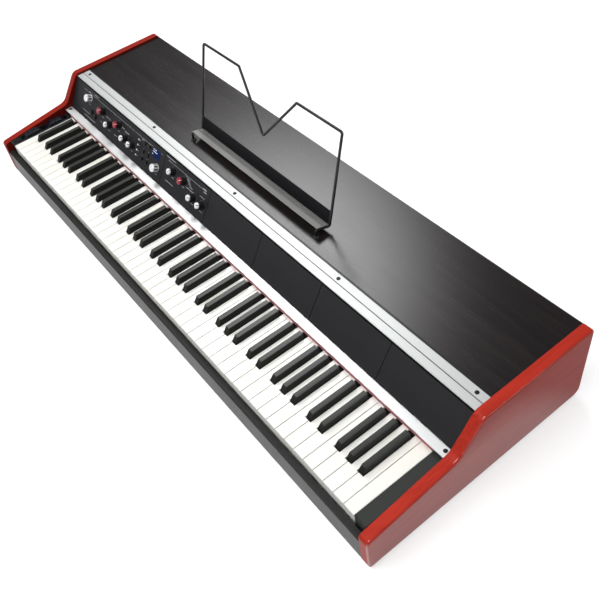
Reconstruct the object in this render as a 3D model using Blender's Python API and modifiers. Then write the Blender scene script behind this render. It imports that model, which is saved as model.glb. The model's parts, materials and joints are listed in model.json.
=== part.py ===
"""Stage piano with 88 hinged keys, wooden cheeks, a sloping control panel and a wire music rest.

Metres, +Z up. X runs along the keyboard (bass at -X), the player sits at -Y.
The origin lies on the floor, under the middle of the object's box.
"""

import math

import bmesh
import bpy
from mathutils import Matrix, Vector

# Clearance between pieces that touch, and the overlap given to pieces that are joined
GAP = 0.0003
JOIN = 0.001

# Keyboard: white keys, counted from the lowest A to the highest C
WHITE_PITCH = 0.0235
WHITE_COUNT = 52
KEY_SPLIT = 0.001
WHITE_LIP = 0.022
WHITE_BODY = 0.013
WHITE_NOSE = 0.0015

# Keyboard: black keys
BLACK_SETBACK = 0.050
BLACK_REAR_ROOM = 0.0068
BLACK_WIDTH = 0.0124
BLACK_TOP_WIDTH = 0.0096
BLACK_RISE = 0.0118
BLACK_CHAMFER = 0.0065
BLACK_SIDE_GAP = 0.0008
BLACK_SHIFT_OUTER = 0.00336
BLACK_SHIFT_INNER = 0.00235

# Keyboard: hinge rod under the rear of the keys
PIVOT_BACK = 0.215
PIVOT_DROP = 0.024
ROD_RADIUS = 0.003
SADDLE_HALF = 0.0075
REAR_LUG = 0.020
REAR_LUG_DEPTH = 0.008
WHITE_LUG_TOP = 0.0125
BLACK_LUG_TOP = 0.002
COMB_BAR = 0.004

# Case
FOOT_HEIGHT = 0.006
FOOT_RADIUS = 0.016
FOOT_INSET_X = 0.090
FOOT_INSET_Y = 0.060
CHEEK_THICK = 0.020
CHEEK_RISE = 0.0052
CHEEK_EDGE = 0.0035
CHEEK_LOW_SLOPE = math.radians(7.7)
CHEEK_STEEP_SLOPE = math.radians(52.0)
CHEEK_FRONT_DROP = 0.0012
CHEEK_FRONT_RADIUS = 0.009
CHEEK_KNEE_RADIUS = 0.028
CHEEK_BROW_RADIUS = 0.018
CHEEK_BROW_SETBACK = 0.003
CHEEK_REAR_RADIUS = 0.004
CHEEK_HEEL_RADIUS = 0.016
KEY_LEVEL = 0.0789
KEY_SETBACK = 0.0152
RAIL_SETBACK = 0.001
RAIL_KEY_GAP = 0.002
RAIL_DROP = 0.023
TRAY_WALL = 0.0015
TRAY_FRONT_UPSTAND = 0.025
BACK_RECESS = 0.004
TOP_THICK = 0.012
TOP_DEPTH = 0.1966

# Key blocks at both ends of the keyboard
BLOCK_WIDTH = 0.0248
BLOCK_RISE = 0.002
BLOCK_SIDE_GAP = 0.0006

# Aluminium trims
WHITE_VISIBLE = 0.1498
LOWER_TRIM_DEPTH = 0.0177
LOWER_TRIM_LIFT = 0.012
UPPER_TRIM_DEPTH = 0.0317
TRIM_THICK = 0.0025
TRIM_EDGE = 0.0005
GROOVE_FROM_REAR = 0.0162
GROOVE_WIDTH = 0.0013
GROOVE_DEPTH = 0.0014
SCREW_RADIUS = 0.0036
SCREW_DOME = 0.0009
SCREW_INSET = 0.0198
SCREW_COUNT = 5
SCREW_FROM_REAR = 0.0081
LOWER_SCREW_INSET = 0.0085
LOWER_SCREW_FROM_REAR = 0.0072

# Felt strip over the keys
FELT_THICK = 0.004
FELT_SET_BACK = 0.0022
FELT_LIFT = 0.001

# Sloping panel: one control panel and five module bays
PANEL_LENGTH = 0.0765
PANEL_ANGLE = math.radians(58.1)
PANEL_THICK = 0.003
PANEL_TOP_CLEAR = 0.0045
CONTROL_WIDTH = 0.4216
BAY_COUNT = 5
SEAM = 0.0008

# Knobs: each has its share of the plate's width, and of the slope's length
SHAFT_RADIUS = 0.003
SHAFT_DEPTH = 0.010
KNOB_LIFT = 0.0006
KNOB_RADIUS = 0.0082
KNOB_BODY = 0.0125
WHITE_CAP_RADIUS = 0.0064
RED_CAP_RADIUS = 0.0076
KNOB_HEIGHT = 0.0165
DIAL_RADIUS = 0.0090
DIAL_HEIGHT = 0.0160
HIGH_ROW = 0.6445
LOW_ROW = 0.4285
DIAL_HIGH_ROW = 0.686
DIAL_LOW_ROW = 0.3725
CONTROL_KNOBS = (
    ("volume_dial", "dial", 0.194, DIAL_HIGH_ROW),
    ("drive_knob", "red", 0.3565, HIGH_ROW),
    ("bass_knob", "white", 0.4467, LOW_ROW),
    ("tremolo_knob", "red", 0.5404, HIGH_ROW),
    ("rate_knob", "white", 0.6222, LOW_ROW),
    ("treble_knob", "white", 0.7005, LOW_ROW),
    ("data_encoder", "dial", 0.9511, DIAL_LOW_ROW),
)
EFFECT_KNOBS = (
    ("effect_select_knob", "white", 0.237, HIGH_ROW),
    ("effect_depth_knob", "red", 0.4841, HIGH_ROW),
    ("effect_rate_knob", "white", 0.7253, LOW_ROW),
    ("effect_level_knob", "white", 0.9194, LOW_ROW),
)

# Push buttons on the control panel as (width, height, lift), placed by shares as the knobs are
MENU_BUTTON = (0.0090, 0.0060, 0.0030)
SIDE_BUTTON = (0.0110, 0.0090, 0.0040)
BUTTON_DEPTH = 0.0060
MENU_COLUMNS = (0.8017, 0.8491)
MENU_ROWS = (0.7386, 0.4902, 0.2745)
SIDE_BUTTON_PLACES = ((0.2302, 0.3381), (0.2765, 0.2899))

# Display window, placed by shares as the knobs are
DISPLAY_PLACE = 0.9186
DISPLAY_ROW = 0.6993
DISPLAY_WIDTH = 0.036
DISPLAY_HEIGHT = 0.022
DISPLAY_LIFT = 0.0005

# Pitch and modulation wheels in the left key block
WHEEL_WIDTH = 0.014
WHEEL_FRONT_ROOM = 0.025
WHEEL_REAR_ROOM = 0.0088
WHEEL_APART = 0.002
WHEEL_DROP = 0.0175
WHEEL_SIDE_GAP = 0.001
WHEEL_RIM_GAP = 0.0015
AXLE_RADIUS = 0.0025
FINGER_DENT_RADIUS = 0.007
FINGER_DENT_DEPTH = 0.0022

# Keybed frame
BED_THICK = 0.003
BED_FRONT = 0.010
BED_BEHIND = 0.025
GUIDE_BACK = 0.020
GUIDE_THICK = 0.006
GUIDE_DROP = 0.036
ROD_RAIL_HALF = 0.006
ROD_RAIL_DROP = 0.0005
BED_END_GAP = 0.001

# Main circuit board
BOARD_LENGTH = 0.300
BOARD_DEPTH = 0.090
BOARD_THICK = 0.0016
BOARD_BEHIND = 0.047
BOARD_POST = 0.010
BOARD_POST_RADIUS = 0.0035
BOARD_POST_INSET = 0.010

# Jack panel in the back wall. Its lower sockets are placed by their share of its width
JACK_MIDDLE_X = -0.300
JACK_LEVEL = 0.062
JACK_WIDTH = 0.126
JACK_HEIGHT = 0.054
JACK_FLOOR = 0.0016
JACK_HOLE = 0.0034
JACK_SPACING = 0.022
JACK_COUNT = 5
JACK_RISE = 0.0135
DIN_HOLE = 0.0078
DIN_PLACES = (0.389, 0.2143)
USB_PLACE = 0.0754
USB_SIZE = 0.0115
POWER_HOLE = 0.0040
POWER_PLACE = -0.0635
SOCKET_DROP = -0.0110

# Power rocker
ROCKER_PLACE = -0.3016
ROCKER_HALF = 0.0090
ROCKER_WIDTH = 0.0120
ROCKER_TILT = math.radians(8.0)
ROCKER_INSET = 0.001
ROCKER_CLEAR = 0.0004

# Music rest
REST_HALF = 0.2085
REST_LIFT = 0.0134
REST_BACK = 0.2935
REST_LEAN = math.radians(16.0)
REST_HEIGHT = 0.177
REST_NOTCH_HALF = 0.0873
REST_NOTCH_HEIGHT = 0.0791
WIRE_RADIUS = 0.0025
WIRE_BEND = 0.007
LEDGE_DEPTH = 0.024
LEDGE_PLATE = 0.0297
LEDGE_THICK = 0.0016
LEDGE_OVER_WIRE = 0.0010
FOOT_WIRE_INSET = 0.004
FOOT_WIRE_FORWARD = 0.003
SOCKET_HOLE_DEPTH = 0.009
PLUG_DEPTH = 0.008

# Places worked out from the sizes above
CASE_BOTTOM = FOOT_HEIGHT
WHITE_TOP = CASE_BOTTOM + KEY_LEVEL
WHITE_HALF = WHITE_COUNT * WHITE_PITCH / 2
INNER_HALF = WHITE_HALF + BLOCK_WIDTH
OUTER_HALF = INNER_HALF + CHEEK_THICK
PANEL_RUN = PANEL_LENGTH * math.cos(PANEL_ANGLE)
PANEL_CLIMB = PANEL_LENGTH * math.sin(PANEL_ANGLE)
CASE_DEPTH = KEY_SETBACK + WHITE_VISIBLE + LOWER_TRIM_DEPTH + PANEL_RUN + UPPER_TRIM_DEPTH + TOP_DEPTH
FRONT_Y = -CASE_DEPTH / 2
REAR_Y = CASE_DEPTH / 2
KEY_FRONT_Y = FRONT_Y + KEY_SETBACK
PIVOT_Y = KEY_FRONT_Y + PIVOT_BACK
PIVOT_Z = WHITE_TOP - PIVOT_DROP
TRIM_FRONT_Y = KEY_FRONT_Y + WHITE_VISIBLE
PANEL_FOOT_Y = TRIM_FRONT_Y + LOWER_TRIM_DEPTH
PANEL_FOOT_Z = WHITE_TOP + LOWER_TRIM_LIFT
PANEL_HEAD_Y = PANEL_FOOT_Y + PANEL_RUN
TOP_LEVEL = PANEL_FOOT_Z + PANEL_CLIMB
TRIM_REAR_Y = PANEL_HEAD_Y + UPPER_TRIM_DEPTH
CHEEK_TOP = TOP_LEVEL + CHEEK_RISE
RAIL_REAR_Y = KEY_FRONT_Y - RAIL_KEY_GAP
BACK_Y = REAR_Y - BACK_RECESS
FLOOR_TOP = CASE_BOTTOM + TRAY_WALL
SIDE_LIMIT = INNER_HALF - GAP
CONTROL_RIGHT = CONTROL_WIDTH - INNER_HALF
BAY_WIDTH = (2 * INNER_HALF - CONTROL_WIDTH) / BAY_COUNT
BLACK_SLOT = BLACK_WIDTH + 2 * BLACK_SIDE_GAP
BLACK_LENGTH = WHITE_VISIBLE - BLACK_SETBACK - BLACK_REAR_ROOM
SOCKET_DEPTH = ROCKER_INSET + ROCKER_HALF + ROCKER_CLEAR
JACK_DEPTH = SOCKET_DEPTH + JACK_FLOOR
REST_Y = KEY_FRONT_Y + REST_BACK
REST_Z = TOP_LEVEL + REST_LIFT
JACK_Z = CASE_BOTTOM + JACK_LEVEL
WHEEL_X = -(WHITE_HALF + INNER_HALF) / 2
WHEEL_Z = WHITE_TOP - WHEEL_DROP
WHEEL_ROOM = WHITE_VISIBLE - WHEEL_FRONT_ROOM - WHEEL_REAR_ROOM
WHEEL_RADIUS = (WHEEL_ROOM - WHEEL_APART) / 4
WHEEL_SPACING = 2 * WHEEL_RADIUS + WHEEL_APART
WHEEL_FRONT_Y = KEY_FRONT_Y + WHEEL_FRONT_ROOM + WHEEL_RADIUS

NOTE_NAMES = ("c", "d", "e", "f", "g", "a", "b")
BLACK_SHIFTS = {"c": -BLACK_SHIFT_INNER, "d": BLACK_SHIFT_INNER, "f": -BLACK_SHIFT_OUTER,
                "g": 0.0, "a": BLACK_SHIFT_OUTER}
FIRST_WHITE_LETTER = 5
MIDDLE_OCTAVE = 4

PIECES = {}
CUTTERS = {}


# Scene and materials

def clear_scene():
    """Remove what the file starts with."""
    for obj in list(bpy.data.objects):
        bpy.data.objects.remove(obj, do_unlink=True)


def make_collection(name, hidden=False):
    """Make a collection in the scene."""
    made = bpy.data.collections.new(name)
    made.hide_render = hidden
    bpy.context.scene.collection.children.link(made)
    return made


def finish(name, colour, roughness, metallic=0.0):
    """Make a plain Principled material."""
    made = bpy.data.materials.new(name)
    made.use_nodes = True
    shader = made.node_tree.nodes["Principled BSDF"]
    shader.inputs["Base Color"].default_value = (*colour, 1.0)
    shader.inputs["Roughness"].default_value = roughness
    shader.inputs["Metallic"].default_value = metallic
    made.diffuse_color = (*colour, 1.0)
    return made


def add_mesh(name, mesh, where, location=(0.0, 0.0, 0.0)):
    """Put a bmesh into a new object of the collection where."""
    bmesh.ops.recalc_face_normals(mesh, faces=mesh.faces)
    data = bpy.data.meshes.new(name)
    mesh.to_mesh(data)
    mesh.free()
    obj = bpy.data.objects.new(name, data)
    obj.location = location
    where.objects.link(obj)
    return obj


def piece(name, mesh, look, location=(0.0, 0.0, 0.0), parent=None):
    """Add one named piece of the piano."""
    obj = add_mesh(name, mesh, PIECES["collection"], location)
    obj.data.materials.append(LOOKS[look])
    obj.parent = parent
    return obj


def cutter(name, mesh, location=(0.0, 0.0, 0.0), parent=None):
    """Add a hidden tool for a Boolean."""
    obj = add_mesh(name, mesh, CUTTERS["collection"], location)
    obj.hide_render = True
    obj.display_type = "WIRE"
    obj.parent = parent
    return obj


# Shapes

def box(low, high):
    """A box between two corners."""
    mesh = bmesh.new()
    bmesh.ops.create_cube(mesh, size=1.0)
    size = Vector(high) - Vector(low)
    bmesh.ops.scale(mesh, vec=size, verts=mesh.verts)
    bmesh.ops.translate(mesh, vec=(Vector(high) + Vector(low)) / 2, verts=mesh.verts)
    return mesh


def prism(outline, low_x, high_x):
    """A (y, z) outline drawn out along X."""
    mesh = bmesh.new()
    corners = [mesh.verts.new((low_x, y, z)) for y, z in outline]
    face = mesh.faces.new(corners)
    drawn = bmesh.ops.extrude_face_region(mesh, geom=[face], use_keep_orig=True)["geom"]
    far = [item for item in drawn if isinstance(item, bmesh.types.BMVert)]
    bmesh.ops.translate(mesh, vec=(high_x - low_x, 0.0, 0.0), verts=far)
    return mesh


def rod(radius, low, high, sides, axis="Z"):
    """A cylinder about the local axis, between two places on it."""
    mesh = bmesh.new()
    bmesh.ops.create_cone(mesh, cap_ends=True, segments=sides, radius1=radius, radius2=radius,
                          depth=high - low)
    bmesh.ops.translate(mesh, vec=(0.0, 0.0, (high + low) / 2), verts=mesh.verts)
    turns = {"X": Matrix.Rotation(math.pi / 2, 3, "Y"), "Y": Matrix.Rotation(-math.pi / 2, 3, "X")}
    if axis in turns:
        bmesh.ops.rotate(mesh, matrix=turns[axis], verts=mesh.verts)
    return mesh


def moved(mesh, offset):
    """The same mesh, shifted."""
    bmesh.ops.translate(mesh, vec=offset, verts=mesh.verts)
    return mesh


def together(meshes):
    """Several meshes in one, left as separate islands."""
    whole = bmesh.new()
    for mesh in meshes:
        data = bpy.data.meshes.new("island")
        mesh.to_mesh(data)
        mesh.free()
        whole.from_mesh(data)
        bpy.data.meshes.remove(data)
    return whole


def rounded(corners, steps=4):
    """An outline of (y, z, radius) corners with each radius drawn as an arc."""
    points = []
    for index, (y, z, radius) in enumerate(corners):
        here = Vector((y, z))
        before = Vector(corners[index - 1][:2]) - here
        after = Vector(corners[(index + 1) % len(corners)][:2]) - here
        if radius == 0.0:
            points.append((y, z))
            continue
        before.normalize()
        after.normalize()
        half = before.angle(after) / 2
        centre = here + (before + after).normalized() * radius / math.sin(half)
        start = here + before * radius / math.tan(half) - centre
        sweep = start.angle_signed(here + after * radius / math.tan(half) - centre)
        for step in range(steps + 1):
            arm = start.copy()
            arm.rotate(Matrix.Rotation(-sweep * step / steps, 2))
            points.append(tuple(centre + arm))
    return points


def part_turn(turn, share):
    """A share of a turn given as a quaternion."""
    axis, angle = turn.to_axis_angle()
    return Matrix.Rotation(angle * share, 3, axis)


def bend_path(corners, steps=4):
    """A 3-D path of (point, radius) corners with each bend drawn as an arc."""
    points = [Vector(corners[0][0])]
    for (before, _), (here, radius), (after, _) in zip(corners, corners[1:], corners[2:]):
        here = Vector(here)
        back = (Vector(before) - here).normalized()
        ahead = (Vector(after) - here).normalized()
        half = back.angle(ahead) / 2
        centre = here + (back + ahead).normalized() * radius / math.sin(half)
        start = here + back * radius / math.tan(half) - centre
        end = here + ahead * radius / math.tan(half) - centre
        turn = start.rotation_difference(end)
        for step in range(steps + 1):
            points.append(centre + part_turn(turn, step / steps) @ start)
    points.append(Vector(corners[-1][0]))
    return points


def boolean(target, tool, operation):
    """Add an exact Boolean to a piece."""
    change = target.modifiers.new(tool.name, "BOOLEAN")
    change.operation = operation
    change.solver = "EXACT"
    change.object = tool
    return change


def cut(target, tool):
    """Cut a tool out of a piece."""
    boolean(target, tool, "DIFFERENCE")


def join(target, tool):
    """Join a hidden solid to a piece."""
    boolean(target, tool, "UNION")


def soften(target, width, segments=1, angle=40.0):
    """Round a piece's sharp edges."""
    change = target.modifiers.new("Soften", "BEVEL")
    change.width = width
    change.segments = segments
    change.limit_method = "ANGLE"
    change.angle_limit = math.radians(angle)
    change.harden_normals = False


# Case

def cheek_outline():
    """Side view of a cheek: low in front, an S-bend, and a level top."""
    low_front = WHITE_TOP - CHEEK_FRONT_DROP
    brow_y = PANEL_HEAD_Y - CHEEK_BROW_SETBACK
    low_rise = math.tan(CHEEK_LOW_SLOPE)
    steep_rise = math.tan(CHEEK_STEEP_SLOPE)
    knee_y = (CHEEK_TOP - low_front - steep_rise * brow_y + low_rise * FRONT_Y) / (low_rise - steep_rise)
    knee_z = low_front + low_rise * (knee_y - FRONT_Y)
    return rounded((
        (FRONT_Y, CASE_BOTTOM, CHEEK_REAR_RADIUS),
        (FRONT_Y, low_front, CHEEK_FRONT_RADIUS),
        (knee_y, knee_z, CHEEK_KNEE_RADIUS),
        (brow_y, CHEEK_TOP, CHEEK_BROW_RADIUS),
        (REAR_Y, CHEEK_TOP, CHEEK_REAR_RADIUS),
        (REAR_Y, CASE_BOTTOM, CHEEK_HEEL_RADIUS),
    ))


def make_cheeks():
    """The two wooden end cheeks."""
    for name, side in (("left_cheek", -1), ("right_cheek", 1)):
        low, high = sorted((side * INNER_HALF, side * OUTER_HALF))
        cheek = piece(name, prism(cheek_outline(), low, high), "red_lacquer")
        soften(cheek, CHEEK_EDGE, segments=2)


def make_top_panel():
    """The wood-grained top board, rebated for the upper trim, with two sockets for the rest."""
    seat = TOP_LEVEL - TRIM_THICK - GAP
    under = TOP_LEVEL - TOP_THICK
    front = PANEL_HEAD_Y + PANEL_THICK / math.sin(PANEL_ANGLE) + GAP
    outline = (
        (front, under), (front, seat), (TRIM_REAR_Y + GAP, seat),
        (TRIM_REAR_Y + GAP, TOP_LEVEL), (REAR_Y, TOP_LEVEL), (REAR_Y, under),
    )
    board = piece("top_panel", prism(outline, -SIDE_LIMIT, SIDE_LIMIT), "dark_wood")
    for name, side in (("left", -1), ("right", 1)):
        x, y = rest_foot(side)
        hole = rod(WIRE_RADIUS + GAP, TOP_LEVEL - SOCKET_HOLE_DEPTH, TOP_LEVEL + JOIN, 12)
        cut(board, cutter(f"rest_socket_{name}", moved(hole, (x, y, 0.0))))


def make_chassis_tray():
    """The folded tray: floor, back wall and front upstand, with four feet and the jack opening."""
    front = RAIL_REAR_Y + GAP
    wall_top = TOP_LEVEL - TOP_THICK - GAP
    outline = (
        (front, CASE_BOTTOM), (BACK_Y, CASE_BOTTOM), (BACK_Y, wall_top), (BACK_Y - TRAY_WALL, wall_top),
        (BACK_Y - TRAY_WALL, FLOOR_TOP), (front + TRAY_WALL, FLOOR_TOP),
        (front + TRAY_WALL, CASE_BOTTOM + TRAY_FRONT_UPSTAND), (front, CASE_BOTTOM + TRAY_FRONT_UPSTAND),
    )
    tray = piece("chassis_tray", prism(outline, -SIDE_LIMIT, SIDE_LIMIT), "black_steel")
    feet = []
    for side in (-1, 1):
        for y in (FRONT_Y + FOOT_INSET_Y, REAR_Y - FOOT_INSET_Y):
            foot = rod(FOOT_RADIUS, 0.0, FOOT_HEIGHT + JOIN, 16)
            feet.append(moved(foot, (side * (OUTER_HALF - FOOT_INSET_X), y, 0.0)))
    join(tray, cutter("rubber_feet", together(feet)))
    half_x = JACK_WIDTH / 2 + GAP
    half_z = JACK_HEIGHT / 2 + GAP
    opening = box((JACK_MIDDLE_X - half_x, BACK_Y - TRAY_WALL - JOIN, JACK_Z - half_z),
                  (JACK_MIDDLE_X + half_x, BACK_Y + JOIN, JACK_Z + half_z))
    cut(tray, cutter("jack_opening", opening))


def make_front_rail():
    """The black rail along the front, between the cheeks."""
    low = (-SIDE_LIMIT, FRONT_Y + RAIL_SETBACK, CASE_BOTTOM)
    high = (SIDE_LIMIT, RAIL_REAR_Y, WHITE_TOP - RAIL_DROP)
    rail = piece("front_rail", box(low, high), "black_satin")
    soften(rail, CHEEK_EDGE / 3)


def block_outline():
    """Side view of a key block: level beside the keys, raised under the lower trim."""
    pad = PANEL_FOOT_Z - TRIM_THICK - GAP
    ledge = CASE_BOTTOM + TRAY_FRONT_UPSTAND + GAP
    behind = RAIL_REAR_Y + TRAY_WALL + 2 * GAP
    return (
        (behind, FLOOR_TOP + GAP), (behind, ledge), (KEY_FRONT_Y, ledge),
        (KEY_FRONT_Y, WHITE_TOP + BLOCK_RISE - WHITE_NOSE),
        (KEY_FRONT_Y + WHITE_NOSE, WHITE_TOP + BLOCK_RISE), (TRIM_FRONT_Y, WHITE_TOP + BLOCK_RISE),
        (TRIM_FRONT_Y, pad), (PANEL_FOOT_Y - GAP, pad), (PANEL_FOOT_Y - GAP, FLOOR_TOP + GAP),
    )


def make_key_blocks():
    """The blocks at both ends of the keyboard. The left one holds the two wheels."""
    near = WHITE_HALF + BLOCK_SIDE_GAP
    piece("right_key_block", prism(block_outline(), near, SIDE_LIMIT), "black_satin")
    block = piece("left_key_block", prism(block_outline(), -SIDE_LIMIT, -near), "black_satin")
    reach = WHEEL_RADIUS + WHEEL_RIM_GAP
    half = WHEEL_WIDTH / 2 + WHEEL_SIDE_GAP
    slot = box((WHEEL_X - half, WHEEL_FRONT_Y - reach, WHEEL_Z - reach),
               (WHEEL_X + half, WHEEL_FRONT_Y + WHEEL_SPACING + reach, WHITE_TOP + LOWER_TRIM_LIFT))
    cut(block, cutter("wheel_slot", slot))
    axles = []
    for index in range(2):
        axle = rod(AXLE_RADIUS, -half - JOIN, half + JOIN, 12, axis="X")
        axles.append(moved(axle, (WHEEL_X, WHEEL_FRONT_Y + index * WHEEL_SPACING, WHEEL_Z)))
    join(block, cutter("wheel_axles", together(axles)))


def make_wheels():
    """The pitch and modulation wheels, each with a dent for the fingertip."""
    for index, name in enumerate(("modulation_wheel", "pitch_wheel")):
        place = (WHEEL_X, WHEEL_FRONT_Y + index * WHEEL_SPACING, WHEEL_Z)
        disc = rod(WHEEL_RADIUS, -WHEEL_WIDTH / 2, WHEEL_WIDTH / 2, 32, axis="X")
        wheel = piece(name, disc, "black_satin", place)
        soften(wheel, WHEEL_SIDE_GAP / 2)
        bore = rod((AXLE_RADIUS + GAP) / math.cos(math.pi / 12), -WHEEL_WIDTH, WHEEL_WIDTH, 12, axis="X")
        cut(wheel, cutter(f"{name}_bore", bore, place))
        dent = rod(FINGER_DENT_RADIUS, -WHEEL_WIDTH, WHEEL_WIDTH, 16, axis="X")
        lift = WHEEL_RADIUS + FINGER_DENT_RADIUS - FINGER_DENT_DEPTH
        cut(wheel, cutter(f"{name}_dent", moved(dent, (0.0, 0.0, lift)), place))


# Trims and felt

def screw_heads(places, level):
    """Low domed screw heads standing on a trim."""
    heads = []
    for x, y in places:
        head = bmesh.new()
        bmesh.ops.create_cone(head, cap_ends=True, segments=12, radius1=SCREW_RADIUS,
                              radius2=SCREW_RADIUS * 0.6, depth=SCREW_DOME + JOIN)
        heads.append(moved(head, (x, y, level + (SCREW_DOME - JOIN) / 2)))
    return together(heads)


def make_upper_trim():
    """The wide aluminium trim in front of the top board, with its groove and screws."""
    groove_y = TRIM_REAR_Y - GROOVE_FROM_REAR
    under = TOP_LEVEL - TRIM_THICK
    outline = (
        (PANEL_HEAD_Y, under), (PANEL_HEAD_Y, TOP_LEVEL - TRIM_EDGE), (PANEL_HEAD_Y + TRIM_EDGE, TOP_LEVEL),
        (groove_y - GROOVE_WIDTH / 2, TOP_LEVEL), (groove_y - GROOVE_WIDTH / 2, TOP_LEVEL - GROOVE_DEPTH),
        (groove_y + GROOVE_WIDTH / 2, TOP_LEVEL - GROOVE_DEPTH), (groove_y + GROOVE_WIDTH / 2, TOP_LEVEL),
        (TRIM_REAR_Y, TOP_LEVEL), (TRIM_REAR_Y, under),
    )
    trim = piece("upper_trim", prism(outline, -SIDE_LIMIT, SIDE_LIMIT), "aluminium")
    first = SCREW_INSET - INNER_HALF
    spacing = -2 * first / (SCREW_COUNT - 1)
    places = [(first + spacing * index, TRIM_REAR_Y - SCREW_FROM_REAR) for index in range(SCREW_COUNT)]
    join(trim, cutter("upper_trim_screws", screw_heads(places, TOP_LEVEL)))


def make_lower_trim():
    """The narrow aluminium trim between the keys and the panel."""
    under = PANEL_FOOT_Z - TRIM_THICK
    outline = (
        (TRIM_FRONT_Y, under), (TRIM_FRONT_Y, PANEL_FOOT_Z - TRIM_EDGE),
        (TRIM_FRONT_Y + TRIM_EDGE, PANEL_FOOT_Z), (PANEL_FOOT_Y - GAP, PANEL_FOOT_Z),
        (PANEL_FOOT_Y - GAP, under),
    )
    trim = piece("lower_trim", prism(outline, -SIDE_LIMIT, SIDE_LIMIT), "aluminium")
    reach = INNER_HALF - LOWER_SCREW_INSET
    y = PANEL_FOOT_Y - LOWER_SCREW_FROM_REAR
    join(trim, cutter("lower_trim_screws", screw_heads(((-reach, y), (reach, y)), PANEL_FOOT_Z)))


def make_key_felt():
    """The red felt strip under the lower trim, just above the keys."""
    front = TRIM_FRONT_Y + FELT_SET_BACK
    low = (-WHITE_HALF, front, WHITE_TOP + FELT_LIFT)
    high = (WHITE_HALF, front + FELT_THICK, PANEL_FOOT_Z - TRIM_THICK - GAP)
    felt = box(low, high)
    piece("key_felt", felt, "red_felt")


# Keys

def saddle(depth):
    """The half-round seat that hugs the rod, from rear to front, below a key's arm."""
    radius = (ROD_RADIUS + GAP) / math.cos(math.pi / 8)
    points = [(PIVOT_BACK + SADDLE_HALF, -PIVOT_DROP)]
    for step in range(5):
        turn = math.pi * step / 4
        points.append((PIVOT_BACK + radius * math.cos(turn), -PIVOT_DROP + radius * math.sin(turn)))
    points.append((PIVOT_BACK - SADDLE_HALF, -PIVOT_DROP))
    points.append((PIVOT_BACK - SADDLE_HALF - WHITE_LIP / 4, -depth))
    return points


def white_outline():
    """Side view of a white key from its front edge and its top."""
    lug = PIVOT_BACK + REAR_LUG
    foot = WHITE_LUG_TOP + REAR_LUG_DEPTH
    return (
        [(0.0, -WHITE_LIP), (0.0, -WHITE_NOSE), (WHITE_NOSE * 0.3, -WHITE_NOSE * 0.3), (WHITE_NOSE, 0.0),
         (PIVOT_BACK - SADDLE_HALF, 0.0), (PIVOT_BACK + SADDLE_HALF, -SADDLE_HALF),
         (PIVOT_BACK + SADDLE_HALF, -WHITE_LUG_TOP), (lug, -WHITE_LUG_TOP), (lug, -foot),
         (PIVOT_BACK + SADDLE_HALF, -foot)]
        + saddle(WHITE_BODY)
        + [(WHITE_BODY, -WHITE_BODY), (WHITE_NOSE * 3, -WHITE_LIP)]
    )


def black_outline():
    """Side view of a black key's arm. Its cap is raised from the front of the arm's top."""
    lug = PIVOT_BACK + REAR_LUG
    cap_end = BLACK_SETBACK + BLACK_LENGTH
    foot = BLACK_LUG_TOP + REAR_LUG_DEPTH - JOIN
    return (
        [(BLACK_SETBACK, -WHITE_BODY), (BLACK_SETBACK, 0.0), (cap_end, 0.0),
         (cap_end + BLACK_LUG_TOP, -BLACK_LUG_TOP), (lug, -BLACK_LUG_TOP), (lug, -foot),
         (PIVOT_BACK + SADDLE_HALF, -foot)]
        + saddle(WHITE_BODY)
    )


def from_pivot(outline):
    """An outline measured from a white key's front and top, turned to one about the hinge rod."""
    return [(y - PIVOT_BACK, z + PIVOT_DROP) for y, z in outline]


def white_solid(x):
    """One white key before the slots for the black keys are cut."""
    half = (WHITE_PITCH - KEY_SPLIT) / 2
    return prism(from_pivot(white_outline()), x - half, x + half)


def black_solid(x):
    """One black key: its arm, and the tapered cap raised from the arm's top."""
    half = BLACK_WIDTH / 2
    mesh = prism(from_pivot(black_outline()), x - half, x + half)
    top = [face for face in mesh.faces if all(abs(vert.co.z - PIVOT_DROP) < GAP for vert in face.verts)]
    raised = bmesh.ops.extrude_face_region(mesh, geom=top)["geom"]
    cap = [item for item in raised if isinstance(item, bmesh.types.BMVert)]
    bmesh.ops.delete(mesh, geom=[face for face in top if face.is_valid], context="FACES_ONLY")
    bmesh.ops.translate(mesh, vec=(0.0, 0.0, BLACK_RISE), verts=cap)
    for vert in cap:
        vert.co.x = x + (vert.co.x - x) * BLACK_TOP_WIDTH / BLACK_WIDTH
    front = min(vert.co.y for vert in cap)
    bmesh.ops.translate(mesh, vec=(0.0, BLACK_CHAMFER, 0.0), verts=[v for v in cap if v.co.y < front + GAP])
    return mesh


def slot_solid(x):
    """The room that a black key needs between the white keys."""
    half = BLACK_SLOT / 2
    low = (x - half, BLACK_SETBACK - WHITE_NOSE - PIVOT_BACK, -PIVOT_DROP)
    high = (x + half, SADDLE_HALF + COMB_BAR, 2 * PIVOT_DROP)
    return box(low, high)


def keyboard():
    """Every key as (colour, letter, octave, x of its middle), from the bass up."""
    keys = []
    for index in range(WHITE_COUNT):
        letter = NOTE_NAMES[(index + FIRST_WHITE_LETTER) % 7]
        octave = (index + FIRST_WHITE_LETTER) // 7
        middle = (index + 0.5) * WHITE_PITCH - WHITE_HALF
        keys.append(("white", letter, octave, middle))
        if letter in BLACK_SHIFTS and index < WHITE_COUNT - 1:
            keys.append(("black", letter, octave, middle + WHITE_PITCH / 2 + BLACK_SHIFTS[letter]))
    return keys


def make_single_keys(keys, slots):
    """The middle octave, with every key on its own."""
    for colour, letter, octave, x in keys:
        place = (x, PIVOT_Y, PIVOT_Z)
        if colour == "black":
            piece(f"key_{letter}_sharp_{octave}", black_solid(0.0), "black_key", place)
            continue
        key = piece(f"key_{letter}_{octave}", white_solid(0.0), "white_key", place)
        near = [slot_solid(s - x) for s in slots if abs(s - x) < WHITE_PITCH]
        cut(key, cutter(f"slots_{letter}_{octave}", together(near), place))


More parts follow.
